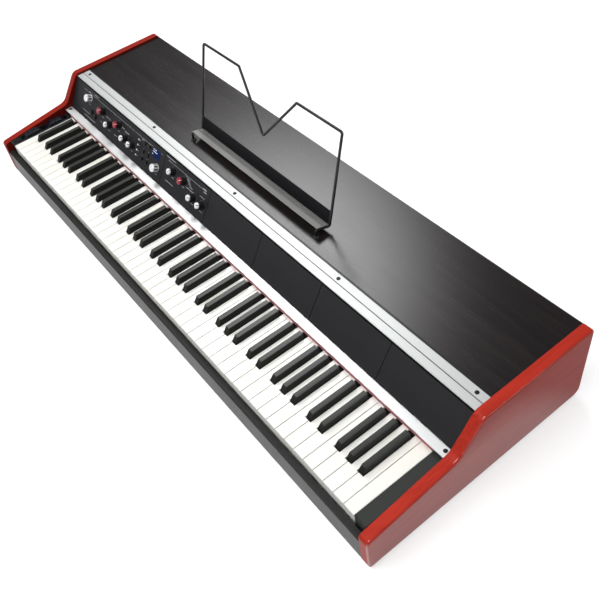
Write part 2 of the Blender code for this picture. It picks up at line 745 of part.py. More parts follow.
def make_key_bank(name, keys, slots):
    """Keys of one colour and side, held by a bar behind the rod as in a moulded key comb."""
    middle = (keys[0][3] + keys[-1][3]) / 2
    place = (middle, PIVOT_Y, PIVOT_Z)
    colour = keys[0][0]
    solid = white_solid if colour == "white" else black_solid
    bank = piece(name, together([solid(x - middle) for _, _, _, x in keys]), f"{colour}_key", place)
    half = (keys[-1][3] - keys[0][3]) / 2
    top = WHITE_LUG_TOP if colour == "white" else BLACK_LUG_TOP
    bar_z = PIVOT_DROP - top - REAR_LUG_DEPTH / 2
    bar_y = REAR_LUG - COMB_BAR
    bar = box((-half, bar_y - COMB_BAR / 2, bar_z - COMB_BAR / 2),
              (half, bar_y + COMB_BAR / 2, bar_z + COMB_BAR / 2))
    if colour == "white":
        near = [slot_solid(s - middle) for s in slots if abs(s - middle) < half + WHITE_PITCH]
        cut(bank, cutter(f"{name}_slots", together(near), place))
    join(bank, cutter(f"{name}_bar", bar, place))


def make_keys():
    """The middle octave as single keys, and the rest as four banks."""
    keys = keyboard()
    slots = [x for colour, _, _, x in keys if colour == "black"]
    make_single_keys([key for key in keys if key[2] == MIDDLE_OCTAVE], slots)
    for colour in ("white", "black"):
        low = [key for key in keys if key[0] == colour and key[2] < MIDDLE_OCTAVE]
        high = [key for key in keys if key[0] == colour and key[2] > MIDDLE_OCTAVE]
        make_key_bank(f"{colour}_keys_low", low, slots)
        make_key_bank(f"{colour}_keys_high", high, slots)


def make_keybed():
    """The frame under the keys, and the rod that all keys turn on."""
    base = FLOOR_TOP + GAP
    deck = base + BED_THICK
    seat = PIVOT_Z - ROD_RAIL_DROP
    guide = KEY_FRONT_Y + GUIDE_BACK
    radius = (ROD_RADIUS + GAP) / math.cos(math.pi / 8)
    notch = []
    for step in range(5):
        turn = math.pi + math.pi * step / 4
        notch.append((PIVOT_Y + radius * math.cos(turn), min(PIVOT_Z + radius * math.sin(turn), seat)))
    outline = (
        [(KEY_FRONT_Y + BED_FRONT, base), (KEY_FRONT_Y + BED_FRONT, deck), (guide, deck),
         (guide, WHITE_TOP - GUIDE_DROP), (guide + GUIDE_THICK, WHITE_TOP - GUIDE_DROP),
         (guide + GUIDE_THICK, deck), (PIVOT_Y - ROD_RAIL_HALF, deck), (PIVOT_Y - ROD_RAIL_HALF, seat)]
        + notch
        + [(PIVOT_Y + ROD_RAIL_HALF, seat), (PIVOT_Y + ROD_RAIL_HALF, deck), (PIVOT_Y + BED_BEHIND, deck),
           (PIVOT_Y + BED_BEHIND, base)]
    )
    reach = WHITE_HALF - BED_END_GAP
    piece("keybed_frame", prism(outline, -reach, reach), "grey_steel")
    hinge = rod(ROD_RADIUS, -reach, reach, 16, axis="X")
    piece("key_hinge_rod", hinge, "bright_steel", (0.0, PIVOT_Y, PIVOT_Z))


# Sloping panel. Its own frame has X along the panel, Y up the slope and Z out of it

def panel_frame():
    """The empty that carries what lies on the slope."""
    frame = bpy.data.objects.new("panel_frame", None)
    frame.location = (0.0, PANEL_FOOT_Y, PANEL_FOOT_Z)
    frame.rotation_euler = (PANEL_ANGLE, 0.0, 0.0)
    PIECES["collection"].objects.link(frame)
    return frame


def panel_slab(name, low_x, high_x, frame, look):
    """One plate of the slope."""
    low = (low_x, GAP, -PANEL_THICK)
    high = (high_x, PANEL_LENGTH - PANEL_TOP_CLEAR, 0.0)
    return piece(name, box(low, high), look, parent=frame)


def knob_profile(kind):
    """Half outline of a knob as (radius, height), from the end of its shaft."""
    if kind == "dial":
        body = ((DIAL_RADIUS, KNOB_LIFT), (DIAL_RADIUS, DIAL_HEIGHT - JOIN),
                (DIAL_RADIUS - JOIN, DIAL_HEIGHT), (0.0, DIAL_HEIGHT))
    else:
        cap = RED_CAP_RADIUS if kind == "red" else WHITE_CAP_RADIUS
        body = ((KNOB_RADIUS, KNOB_LIFT), (KNOB_RADIUS, KNOB_BODY), (cap, KNOB_BODY),
                (cap, KNOB_HEIGHT - JOIN), (cap - JOIN, KNOB_HEIGHT), (0.0, KNOB_HEIGHT))
    return ((0.0, -SHAFT_DEPTH), (SHAFT_RADIUS, -SHAFT_DEPTH), (SHAFT_RADIUS, KNOB_LIFT)) + body


def make_knob(name, kind, x, y, frame):
    """One turned knob with its shaft, about its own Z axis."""
    mesh = bmesh.new()
    points = [mesh.verts.new((radius, 0.0, height)) for radius, height in knob_profile(kind)]
    for start, end in zip(points, points[1:]):
        mesh.edges.new((start, end))
    looks = {"dial": "silver", "red": "red_cap", "white": "white_cap"}
    knob = piece(name, mesh, looks[kind], (x, y, 0.0), frame)
    turn = knob.modifiers.new("Turn", "SCREW")
    turn.angle = math.tau
    turn.steps = 14
    turn.render_steps = 14
    turn.use_merge_vertices = True
    turn.merge_threshold = 0.00001
    turn.use_smooth_shade = False
    turn.use_normal_flip = True


def shaft_hole(name, x, y, frame):
    """The hole that a knob's shaft turns in."""
    radius = (SHAFT_RADIUS + GAP) / math.cos(math.pi / 14)
    return cutter(f"{name}_hole", rod(radius, -2 * PANEL_THICK, PANEL_THICK, 14), (x, y, 0.0), frame)


def window_cut(plate, name, half_x, half_y, place, frame):
    """Cut the opening that a button or the display stands in."""
    low = (-half_x - GAP, -half_y - GAP, -2 * PANEL_THICK)
    high = (half_x + GAP, half_y + GAP, PANEL_THICK)
    cut(plate, cutter(f"{name}_opening", box(low, high), place, frame))


def make_button(name, size, along, up, frame, plate):
    """One push button of a (width, height, lift) size and the opening that guides it."""
    half_x = size[0] / 2
    half_y = size[1] / 2
    place = (on_control(along), up * PANEL_LENGTH, 0.0)
    body = box((-half_x, -half_y, -BUTTON_DEPTH), (half_x, half_y, size[2]))
    soften(piece(name, body, "black_satin", place, frame), GAP * 2)
    window_cut(plate, name, half_x, half_y, place, frame)


def on_control(share):
    """A place along the control panel, from its share of the width."""
    return share * CONTROL_WIDTH - INNER_HALF


def make_control_panel(frame):
    """The left plate of the slope with its knobs, buttons and display."""
    plate = panel_slab("control_panel", -SIDE_LIMIT, CONTROL_RIGHT - SEAM / 2, frame, "charcoal")
    for name, kind, along, up in CONTROL_KNOBS:
        cut(plate, shaft_hole(name, on_control(along), up * PANEL_LENGTH, frame))
        make_knob(name, kind, on_control(along), up * PANEL_LENGTH, frame)
    for row, up in enumerate(MENU_ROWS):
        for column, along in enumerate(MENU_COLUMNS):
            name = f"menu_button_{row * len(MENU_COLUMNS) + column + 1}"
            make_button(name, MENU_BUTTON, along, up, frame, plate)
    for index, (along, up) in enumerate(SIDE_BUTTON_PLACES):
        make_button(f"side_button_{index + 1}", SIDE_BUTTON, along, up, frame, plate)
    half_x = DISPLAY_WIDTH / 2
    half_y = DISPLAY_HEIGHT / 2
    place = (on_control(DISPLAY_PLACE), DISPLAY_ROW * PANEL_LENGTH, 0.0)
    window = box((-half_x, -half_y, -PANEL_THICK), (half_x, half_y, DISPLAY_LIFT))
    soften(piece("display_window", window, "display_blue", place, frame), GAP)
    window_cut(plate, "display", half_x, half_y, place, frame)


def make_modules(frame):
    """The effects module and the four blank modules in the five bays."""
    for bay in range(BAY_COUNT):
        left = CONTROL_RIGHT + bay * BAY_WIDTH
        high_x = left + BAY_WIDTH - SEAM / 2
        if bay == BAY_COUNT - 1:
            high_x = SIDE_LIMIT
        name = "effects_module" if bay == 0 else f"blank_module_{bay}"
        plate = panel_slab(name, left + SEAM / 2, high_x, frame, "charcoal")
        if bay == 0:
            for knob, kind, along, up in EFFECT_KNOBS:
                x = left + along * BAY_WIDTH
                cut(plate, shaft_hole(knob, x, up * PANEL_LENGTH, frame))
                make_knob(knob, kind, x, up * PANEL_LENGTH, frame)


# Inside and back

def make_main_board():
    """The circuit board on its four posts, behind the keys."""
    low_z = FLOOR_TOP + GAP + BOARD_POST
    low_y = PIVOT_Y + BOARD_BEHIND
    half = BOARD_LENGTH / 2
    board = box((-half, low_y, low_z), (half, low_y + BOARD_DEPTH, low_z + BOARD_THICK))
    plate = piece("main_board", board, "circuit_green")
    posts = []
    for x in (-half + BOARD_POST_INSET, half - BOARD_POST_INSET):
        for y in (low_y + BOARD_POST_INSET, low_y + BOARD_DEPTH - BOARD_POST_INSET):
            post = rod(BOARD_POST_RADIUS, FLOOR_TOP + GAP, low_z + BOARD_THICK / 2, 8)
            posts.append(moved(post, (x, y, 0.0)))
    join(plate, cutter("board_posts", together(posts)))


def socket(radius, x, z):
    """A round blind hole in the jack panel."""
    hole = rod(radius, -SOCKET_DEPTH, JOIN, 12, axis="Y")
    return moved(hole, (x, 0.0, z))


def make_jack_plate():
    """The moulded jack panel in the back wall: five jacks, two round data sockets, one square, one power."""
    half_x = JACK_WIDTH / 2
    half_z = JACK_HEIGHT / 2
    place = (JACK_MIDDLE_X, BACK_Y, JACK_Z)
    body = box((-half_x, -JACK_DEPTH, -half_z), (half_x, 0.0, half_z))
    plate = piece("jack_plate", body, "black_satin", place)
    first = -JACK_SPACING * (JACK_COUNT - 1) / 2
    holes = [socket(JACK_HOLE, first + JACK_SPACING * index, JACK_RISE) for index in range(JACK_COUNT)]
    holes += [socket(DIN_HOLE, share * JACK_WIDTH, SOCKET_DROP) for share in DIN_PLACES]
    holes.append(socket(POWER_HOLE, POWER_PLACE * JACK_WIDTH, SOCKET_DROP))
    half = USB_SIZE / 2
    middle = USB_PLACE * JACK_WIDTH
    holes.append(box((middle - half, -SOCKET_DEPTH, SOCKET_DROP - half),
                     (middle + half, JOIN, SOCKET_DROP + half)))
    wide = ROCKER_WIDTH / 2 + ROCKER_CLEAR
    tall = ROCKER_HALF + ROCKER_CLEAR
    middle = ROCKER_PLACE * JACK_WIDTH
    holes.append(box((middle - wide, -SOCKET_DEPTH, SOCKET_DROP - tall),
                     (middle + wide, JOIN, SOCKET_DROP + tall)))
    cut(plate, cutter("sockets", together(holes), place))


def make_power_switch():
    """The rocker switch, lying with its lower half in."""
    points = [(0.0, 0.0)]
    for step in range(9):
        turn = math.pi / 2 - ROCKER_TILT + (math.pi + 2 * ROCKER_TILT) * step / 8
        points.append((ROCKER_HALF * math.cos(turn), ROCKER_HALF * math.sin(turn)))
    mesh = prism(points, -ROCKER_WIDTH / 2, ROCKER_WIDTH / 2)
    bmesh.ops.rotate(mesh, matrix=Matrix.Rotation(ROCKER_TILT, 3, "X"), verts=mesh.verts)
    place = (JACK_MIDDLE_X + ROCKER_PLACE * JACK_WIDTH, BACK_Y - ROCKER_INSET, JACK_Z + SOCKET_DROP)
    piece("power_switch", mesh, "black_satin", place)


# Music rest

def rest_foot(side):
    """Where the rest's wire enters the top board on one side, as (x, y)."""
    y = REST_Y - (LEDGE_DEPTH + FOOT_WIRE_FORWARD) * math.cos(REST_LEAN)
    return side * (REST_HALF - FOOT_WIRE_INSET), y


def rest_point(x, forward, up):
    """A point of the rest from its rear lower corner, forward along the ledge and up the wire."""
    sine, cosine = math.sin(REST_LEAN), math.cos(REST_LEAN)
    return (x, REST_Y - forward * cosine + up * sine, REST_Z + forward * sine + up * cosine)


def wire_path():
    """The bent wire, from the left foot round the frame to the right foot."""
    forward = LEDGE_DEPTH + FOOT_WIRE_FORWARD
    half = []
    for side in (-1, 1):
        x, y = rest_foot(side)
        half.append([
            ((x, y, TOP_LEVEL - PLUG_DEPTH), 0.0),
            (rest_point(x, forward, 0.0), WIRE_BEND / 2),
            (rest_point(side * REST_HALF, 0.0, 0.0), WIRE_BEND / 2),
            (rest_point(side * REST_HALF, 0.0, REST_HEIGHT), WIRE_BEND / 2),
            (rest_point(side * REST_NOTCH_HALF, 0.0, REST_HEIGHT), WIRE_BEND / 2),
        ])
    notch = [(rest_point(0.0, 0.0, REST_NOTCH_HEIGHT), WIRE_BEND / 2)]
    return bend_path(half[0] + notch + half[1][::-1])


def rest_sheet(rear, front, low, high, reach):
    """A flat strip of the rest, between two places forward and two places up, drawn out along X."""
    corners = ((rear, low), (front, low), (front, high), (rear, high))
    return prism([rest_point(0.0, forward, up)[1:] for forward, up in corners], -reach, reach)


def make_music_rest():
    """The wire frame and its sheet ledge, welded into one piece."""
    curve = bpy.data.curves.new("rest_wire", "CURVE")
    curve.dimensions = "3D"
    curve.bevel_depth = WIRE_RADIUS
    curve.bevel_resolution = 1
    curve.use_fill_caps = True
    points = wire_path()
    spline = curve.splines.new("POLY")
    spline.points.add(len(points) - 1)
    for target, point in zip(spline.points, points):
        target.co = (*point, 1.0)
    holder = bpy.data.objects.new("rest_wire", curve)
    CUTTERS["collection"].objects.link(holder)
    bpy.context.view_layer.update()
    data = bpy.data.meshes.new_from_object(holder.evaluated_get(bpy.context.evaluated_depsgraph_get()))
    bpy.data.objects.remove(holder)
    mesh = bmesh.new()
    mesh.from_mesh(data)
    bmesh.ops.remove_doubles(mesh, verts=mesh.verts, dist=0.00001)
    rest = piece("music_rest", mesh, "black_wire")
    over = LEDGE_OVER_WIRE
    half = LEDGE_THICK / 2
    shelf = rest_sheet(-half - GAP, LEDGE_DEPTH, over, over + LEDGE_THICK, REST_HALF + WIRE_RADIUS)
    join(rest, cutter("rest_ledge", shelf))
    plate = rest_sheet(-half, half, over + half, LEDGE_PLATE, REST_HALF - WIRE_RADIUS / 2)
    join(rest, cutter("rest_plate", plate))


LOOKS = {}


def make_looks():
    """Every material, by the name that the pieces use."""
    LOOKS.update({
        "red_lacquer": finish("red_lacquer", (0.36, 0.035, 0.02), 0.25),
        "dark_wood": finish("dark_wood", (0.03, 0.024, 0.023), 0.35),
        "black_steel": finish("black_steel", (0.02, 0.02, 0.021), 0.5, 0.4),
        "grey_steel": finish("grey_steel", (0.35, 0.35, 0.36), 0.4, 0.8),
        "bright_steel": finish("bright_steel", (0.6, 0.6, 0.6), 0.25, 1.0),
        "black_satin": finish("black_satin", (0.025, 0.025, 0.026), 0.45),
        "aluminium": finish("aluminium", (0.75, 0.76, 0.76), 0.35, 1.0),
        "red_felt": finish("red_felt", (0.42, 0.03, 0.05), 0.95),
        "white_key": finish("white_key", (0.84, 0.83, 0.79), 0.25),
        "black_key": finish("black_key", (0.02, 0.02, 0.019), 0.4),
        "charcoal": finish("charcoal", (0.035, 0.034, 0.038), 0.55),
        "silver": finish("silver", (0.7, 0.71, 0.72), 0.25, 1.0),
        "red_cap": finish("red_cap", (0.5, 0.02, 0.04), 0.35),
        "white_cap": finish("white_cap", (0.72, 0.73, 0.74), 0.35),
        "display_blue": finish("display_blue", (0.02, 0.045, 0.16), 0.12),
        "circuit_green": finish("circuit_green", (0.02, 0.12, 0.05), 0.4),
        "black_wire": finish("black_wire", (0.015, 0.015, 0.015), 0.4),
    })


def main():
    """Build the piano."""
    clear_scene()
    make_looks()
    PIECES["collection"] = make_collection("stage_piano")
    CUTTERS["collection"] = make_collection("cutters", hidden=True)
    make_cheeks()
    make_top_panel()
    make_chassis_tray()
    make_front_rail()
    make_key_blocks()
    make_wheels()
    make_upper_trim()
    make_lower_trim()
    make_key_felt()
    make_keys()
    make_keybed()
    frame = panel_frame()
    make_control_panel(frame)
    make_modules(frame)
    make_main_board()
    make_jack_plate()
    make_power_switch()
    make_music_rest()


main()
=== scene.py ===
"""Looks of a stage piano: red lacquered cheeks, dark wood, 88 keys, knobs on a sloping panel.

Everything is in metres. X runs along the keyboard towards the treble, the player sits
at -Y, and Z points up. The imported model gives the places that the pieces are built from.
"""

import json
import logging
import math
from dataclasses import dataclass, field
from enum import Enum
from typing import Any, Callable, Iterable, Optional, Sequence, Union

import bmesh
import bpy
from mathutils import Matrix, Quaternion, Vector

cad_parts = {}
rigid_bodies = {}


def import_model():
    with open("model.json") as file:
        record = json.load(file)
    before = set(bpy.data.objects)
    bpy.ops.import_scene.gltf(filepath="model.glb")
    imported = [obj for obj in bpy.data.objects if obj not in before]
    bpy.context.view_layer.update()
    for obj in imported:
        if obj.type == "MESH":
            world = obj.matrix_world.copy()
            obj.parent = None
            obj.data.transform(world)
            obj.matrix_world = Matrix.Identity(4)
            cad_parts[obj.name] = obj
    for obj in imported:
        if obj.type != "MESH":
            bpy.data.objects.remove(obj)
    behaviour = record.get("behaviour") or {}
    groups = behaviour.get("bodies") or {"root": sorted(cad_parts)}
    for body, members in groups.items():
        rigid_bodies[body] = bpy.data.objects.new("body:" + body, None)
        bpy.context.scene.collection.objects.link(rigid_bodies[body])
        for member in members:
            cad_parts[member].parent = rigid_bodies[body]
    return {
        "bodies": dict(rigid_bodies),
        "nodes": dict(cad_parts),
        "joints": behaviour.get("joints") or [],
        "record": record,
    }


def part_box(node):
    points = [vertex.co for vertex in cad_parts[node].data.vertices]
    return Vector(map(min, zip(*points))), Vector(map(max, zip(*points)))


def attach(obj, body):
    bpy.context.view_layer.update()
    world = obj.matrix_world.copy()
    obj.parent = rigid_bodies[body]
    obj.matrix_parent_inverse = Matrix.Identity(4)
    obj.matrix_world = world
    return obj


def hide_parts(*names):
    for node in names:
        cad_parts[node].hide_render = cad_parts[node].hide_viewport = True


LOG = logging.getLogger("stage_piano")
CASE = "case"

Colour = tuple[float, float, float]
Point = tuple[float, float, float]
Flat = tuple[float, float]


# Shader building


def operator(operation: str, swapped: bool = False) -> Callable[["Number", "Operand"], "Number"]:
    """A method that adds a Math node of a number and another, in that order or swapped.

    Args:
        operation: the node's operation.
        swapped: whether the other number comes first.

    Returns:
        The method.
    """

    def apply(number: "Number", other: "Operand") -> "Number":
        """Add the node."""
        return number.math(operation, *((other, number) if swapped else (number, other)))

    return apply


class Number:
    """A number on a shader socket. Python's operators on it add Math nodes."""

    def __init__(self, graph: "Graph", socket: bpy.types.NodeSocket) -> None:
        """Wrap a socket of a graph."""
        self.graph = graph
        self.socket = socket

    def math(self, operation: str, *values: "Operand") -> "Number":
        """Add one Math node.

        Args:
            operation: the node's operation.
            values: its inputs in order.

        Returns:
            The node's result.
        """
        node = self.graph.node("ShaderNodeMath", {"operation": operation}, dict(enumerate(values)))
        return Number(self.graph, node.outputs[0])

    __add__, __radd__ = operator("ADD"), operator("ADD", True)
    __sub__, __rsub__ = operator("SUBTRACT"), operator("SUBTRACT", True)
    __mul__, __rmul__ = operator("MULTIPLY"), operator("MULTIPLY", True)
    larger = operator("MAXIMUM")

    def limited(self) -> "Number":
        """The number held between 0 and 1."""
        node = self.graph.node("ShaderNodeClamp", {}, {"Value": self})
        return Number(self.graph, node.outputs[0])


Operand = Union[Number, float]
Owner = Union[bpy.types.Material, bpy.types.World, bpy.types.Light]


class Graph:
    """The node tree of a material, a light or the world."""

    def __init__(self, owner: Owner, shader: str) -> None:
        """Take up an owner's tree.

        Args:
            owner: the material, world or light.
            shader: the name of the shader node that it starts with.
        """
        owner.use_nodes = True
        self.owner = owner
        self.tree = owner.node_tree
        self.shader = self.tree.nodes[shader]

    def node(self, kind: str, settings: Optional[dict] = None,
             inputs: Optional[dict] = None) -> bpy.types.Node:
        """Add one node.

        Args:
            kind: the node's type.
            settings: its settings, set first. "stops" gives a colour ramp's stops.
            inputs: values or links, by the socket's name or place.

        Returns:
            The node.
        """
        made = self.tree.nodes.new(kind)
        for name, value in (settings or {}).items():
            if name == "stops":
                self._set_stops(made.color_ramp, value)
            else:
                setattr(made, name, value)
        for key, value in (inputs or {}).items():
            self.feed(made.inputs[key], value)
        return made

    def feed(self, socket: bpy.types.NodeSocket, value: Any) -> None:
        """Link a value to a socket, or set it there when it is plain.

        Args:
            socket: the input.
            value: a number, a socket or a plain value.
        """
        if isinstance(value, Number):
            value = value.socket
        if isinstance(value, bpy.types.NodeSocket):
            self.tree.links.new(value, socket)
        elif isinstance(value, tuple) and socket.type == "RGBA" and len(value) == 3:
            socket.default_value = (*value, 1.0)
        else:
            socket.default_value = value

    def set(self, **values: Any) -> None:
        """Feed the tree's own shader: a socket's name is written with _ for its spaces."""
        for name, value in values.items():
            self.feed(self.shader.inputs[name.replace("_", " ").title().replace("Ior", "IOR")], value)

    def coordinates(self, scale: Point) -> bpy.types.NodeSocket:
        """Object coordinates in metres, each axis times a scale.

        Args:
            scale: along each axis.

        Returns:
            The socket of the scaled place.
        """
        place = self.node("ShaderNodeTexCoord").outputs["Object"]
        mapping = self.node("ShaderNodeMapping", {}, {"Vector": place, "Scale": scale})
        return mapping.outputs["Vector"]

    def noise(self, scale: Union[Point, float], detail: float = 2.0, roughness: float = 0.5) -> Number:
        """Noise between 0 and 1.

        Args:
            scale: how often it repeats per metre, along each axis or the same along all.
            detail: how many finer layers it has.
            roughness: how strong the finer layers are.

        Returns:
            The noise as a number.
        """
        place = self.coordinates(scale if isinstance(scale, tuple) else (scale,) * 3)
        inputs = {"Vector": place, "Scale": 1.0, "Detail": detail, "Roughness": roughness}
        return Number(self, self.node("ShaderNodeTexNoise", {}, inputs).outputs["Fac"])

    def axis(self, name: str) -> Number:
        """One object coordinate, in metres."""
        place = self.node("ShaderNodeTexCoord").outputs["Object"]
        return Number(self, self.node("ShaderNodeSeparateXYZ", {}, {0: place}).outputs[name])

    def spread(self, value: Number, low: float, high: float) -> Number:
        """Stretch a number so that low becomes 0 and high becomes 1, held there."""
        inputs = {"Value": value, "From Min": low, "From Max": high}
        return Number(self, self.node("ShaderNodeMapRange", {"clamp": True}, inputs).outputs[0])

    def mix(self, factor: Operand, first: Any, second: Any) -> bpy.types.NodeSocket:
        """Blend two colours."""
        node = self.node("ShaderNodeMix", {"data_type": "RGBA"}, {0: factor, 6: first, 7: second})
        return node.outputs[2]

    def mixed(self, factor: Number, first: Operand, second: Operand) -> Number:
        """Blend two numbers."""
        node = self.node("ShaderNodeMix", {"data_type": "FLOAT"}, {0: factor, 2: first, 3: second})
        return Number(self, node.outputs[0])

    def bump(self, height: Number, depth: float, strength: float = 1.0) -> bpy.types.NodeSocket:
        """A normal from a height.

        Args:
            height: 0 to 1.
            depth: what 1 stands for, in metres.
            strength: share of the bump that shows.

        Returns:
            The Normal socket.
        """
        node = self.node("ShaderNodeBump", {}, {"Strength": strength, "Distance": depth, "Height": height})
        return node.outputs["Normal"]

    @staticmethod
    def _set_stops(ramp: bpy.types.ColorRamp, stops: Sequence[tuple[float, Colour]]) -> None:
        """Give a colour ramp its stops.

        Args:
            ramp: the colour ramp.
            stops: (position, colour) of each stop.
        """
        while len(ramp.elements) < len(stops):
            ramp.elements.new(1.0)
        for element, (position, colour) in zip(ramp.elements, stops):
            element.position = position
            element.color = (*colour, 1.0)


# Finishes


@dataclass(frozen=True)
class Finish:
    """A finish with its name, the record's slot that it belongs to, its main colour and its gloss."""

    name: str
    slot: str
    colour: Colour
    roughness: float = 0.4
    shine: float = 0.5

    def material(self) -> bpy.types.Material:
        """The finish's material, made once.

        Returns:
            The material.
        """
        title = f"{self.name}_finish"
        known = bpy.data.materials.get(title)
        if known:
            return known
        graph = Graph(bpy.data.materials.new(title), "Principled BSDF")
        graph.set(base_color=self.colour, roughness=self.roughness, specular_ior_level=self.shine)
        self.paint(graph)
        graph.owner.diffuse_color = (*self.colour, 1.0)
        return graph.owner

    def paint(self, graph: Graph) -> None:
        """Add the nodes of this kind of finish."""
        raise NotImplementedError

    def toned(self, share: float) -> Colour:
        """The main colour times a share."""
        return tuple(channel * share for channel in self.colour)


@dataclass(frozen=True)
class Lacquer(Finish):
    """Red lacquer over wood: fine grain along Y, painted shade on the inner faces and across the whole bass
    cheek, under a clear coat that shows on the rounded edges.

    The bands across the cheeks are ranges of X squared, so that each holds for both cheeks.
    """

    deep: Colour = (0.25, 0.015, 0.009)
    # The colour of the painted shade on the inner faces and on the bass cheek.
    shade: Colour = (0.02, 0.001, 0.001)
    inner_shade_band: Flat = (0.4054, 0.4042)
    edge_band: Flat = (0.4241, 0.4252)
    outer_band: Flat = (0.4290, 0.4299)
    bass_shade_band: Flat = (-0.60, -0.64)
    coat_band: Flat = (0.175, 0.090)
    coat_fall: float = 3.2

    def paint(self, graph: Graph) -> None:
        """Grain and painted shade in the colour, and a faint orange-peel in the coat.

        Args:
            graph: the material's tree.
        """
        grain = graph.noise((220.0, 9.0, 220.0), 5.0, 0.6)
        cloud = graph.noise((9.0, 3.0, 9.0), 2.0)
        mask = (graph.spread(grain, 0.42, 0.62) * 0.42 + cloud * 0.30 - 0.10).limited()
        peel = graph.noise(420.0, 1.0)
        across = graph.axis("X")
        reach = across * across
        # Painted shade: the inner faces, and less strongly the whole bass cheek, are darkened towards the
        # shade colour where shade falls on them.
        inner_shade = graph.spread(reach, *self.inner_shade_band)
        shaded = (inner_shade * 0.75).larger(graph.spread(across, *self.bass_shade_band) * 0.32)
        tone = graph.mix(mask, self.colour, self.deep)
        graph.set(base_color=graph.mix(shaded, tone, self.shade), roughness=self.roughness + peel * 0.06)
        rear = graph.axis("Y").larger(0.0)
        thick = graph.spread(graph.axis("Z") + rear * rear * self.coat_fall, *self.coat_band)
        edges = graph.spread(reach, *self.edge_band)
        outside = graph.spread(reach, *self.outer_band)
        graph.set(coat_weight=graph.mixed(outside, edges, thick * 0.50), coat_roughness=0.05)
        graph.set(normal=graph.bump(peel + grain * 0.3, 0.00002, 0.4))


@dataclass(frozen=True)
class DarkVeneer(Finish):
    """Almost black open-pored wood, with its grain along X."""

    light: Colour = (0.0158, 0.0116, 0.0115)

    def paint(self, graph: Graph) -> None:
        """Long figure, fine pores, and a satin that the pores break.

        Args:
            graph: the material's tree.
        """
        figure = graph.noise((3.0, 90.0, 90.0), 6.0, 0.62)
        pores = graph.noise((26.0, 1900.0, 1900.0), 3.0, 0.6)
        pits = graph.spread(pores, 0.56, 0.68)
        tone = graph.spread(figure, 0.36, 0.66)
        base = graph.mix(tone, self.colour, self.light)
        graph.set(base_color=graph.mix(pits * 0.4, base, (0.006, 0.005, 0.005)))
        graph.set(roughness=self.roughness + tone * 0.02 + pits * 0.05)
        graph.set(normal=graph.bump(1.0 - pits * 0.5 + tone * 0.08, 0.00002, 0.3))


@dataclass(frozen=True)
class BrushedMetal(Finish):
    """Metal with fine brush lines along X."""

    lines: float = 3800.0
    metal: float = 1.0

    def paint(self, graph: Graph) -> None:
        """Brush lines in roughness, tone and normal.

        Args:
            graph: the material's tree.
        """
        brushed = graph.noise((7.0, self.lines, self.lines), 4.0, 0.65)
        soft = graph.noise((5.0, 60.0, 60.0), 2.0)
        shade = self.toned(0.86)
        graph.set(base_color=graph.mix((brushed * 0.7 + soft * 0.3).limited(), self.colour, shade))
        graph.set(roughness=self.roughness + (brushed - 0.5) * 0.16, metallic=self.metal)
        graph.set(normal=graph.bump(brushed, 0.00002, 0.3))


@dataclass(frozen=True)
class SpunMetal(Finish):
    """Turned or plated metal with a little haze."""

    metal: float = 1.0

    def paint(self, graph: Graph) -> None:
        """Haze in the roughness, and faint tool marks.

        Args:
            graph: the material's tree.
        """
        haze = graph.noise(500.0, 3.0)
        graph.set(roughness=self.roughness + (haze - 0.5) * 0.15, metallic=self.metal)
        graph.set(normal=graph.bump(haze, 0.00002, 0.3))


@dataclass(frozen=True)
class Textured(Finish):
    """Moulded plastic, rubber or paint with a fine even grain."""

    grain: float = 1800.0
    depth: float = 0.00003
    speckle: float = 0.10
    coat: float = 0.0
    metal: float = 0.0

    def paint(self, graph: Graph) -> None:
        """Fine grain in the normal, with a little of it in colour and roughness.

        Args:
            graph: the material's tree.
        """
        grain = graph.noise(self.grain, 3.0, 0.6)
        wear = graph.noise(24.0, 4.0, 0.55)
        pale = tuple(min(1.0, channel * 1.35 + 0.004) for channel in self.colour)
        worn = graph.spread(wear, 0.5, 0.8) * 0.2
        mask = (graph.spread(grain, 0.45, 0.75) * self.speckle + worn).limited()
        graph.set(base_color=graph.mix(mask, self.colour, pale), metallic=self.metal)
        graph.set(roughness=self.roughness + (grain - 0.5) * 0.12 + (wear - 0.5) * 0.08)
        graph.set(normal=graph.bump(grain, self.depth, 0.6), coat_weight=self.coat)


@dataclass(frozen=True)
class IvoryPlastic(Finish):
    """Warm white key plastic, a little duller where fingers play."""

    def paint(self, graph: Graph) -> None:
        """Cloudy warmth, and fine lines along the key from handling.

        Args:
            graph: the material's tree.
        """
        cloud = graph.noise((14.0, 6.0, 14.0), 3.0)
        lines = graph.noise((1500.0, 30.0, 1500.0), 3.0, 0.6)
        warm = (self.colour[0] * 0.985, self.colour[1] * 0.965, self.colour[2] * 0.925)
        graph.set(base_color=graph.mix(graph.spread(cloud, 0.4, 0.7), self.colour, warm))
        graph.set(roughness=self.roughness + (cloud - 0.5) * 0.12 + (lines - 0.5) * 0.08)
        graph.set(normal=graph.bump(lines, 0.00001, 0.25), coat_weight=0.15, coat_roughness=0.12)


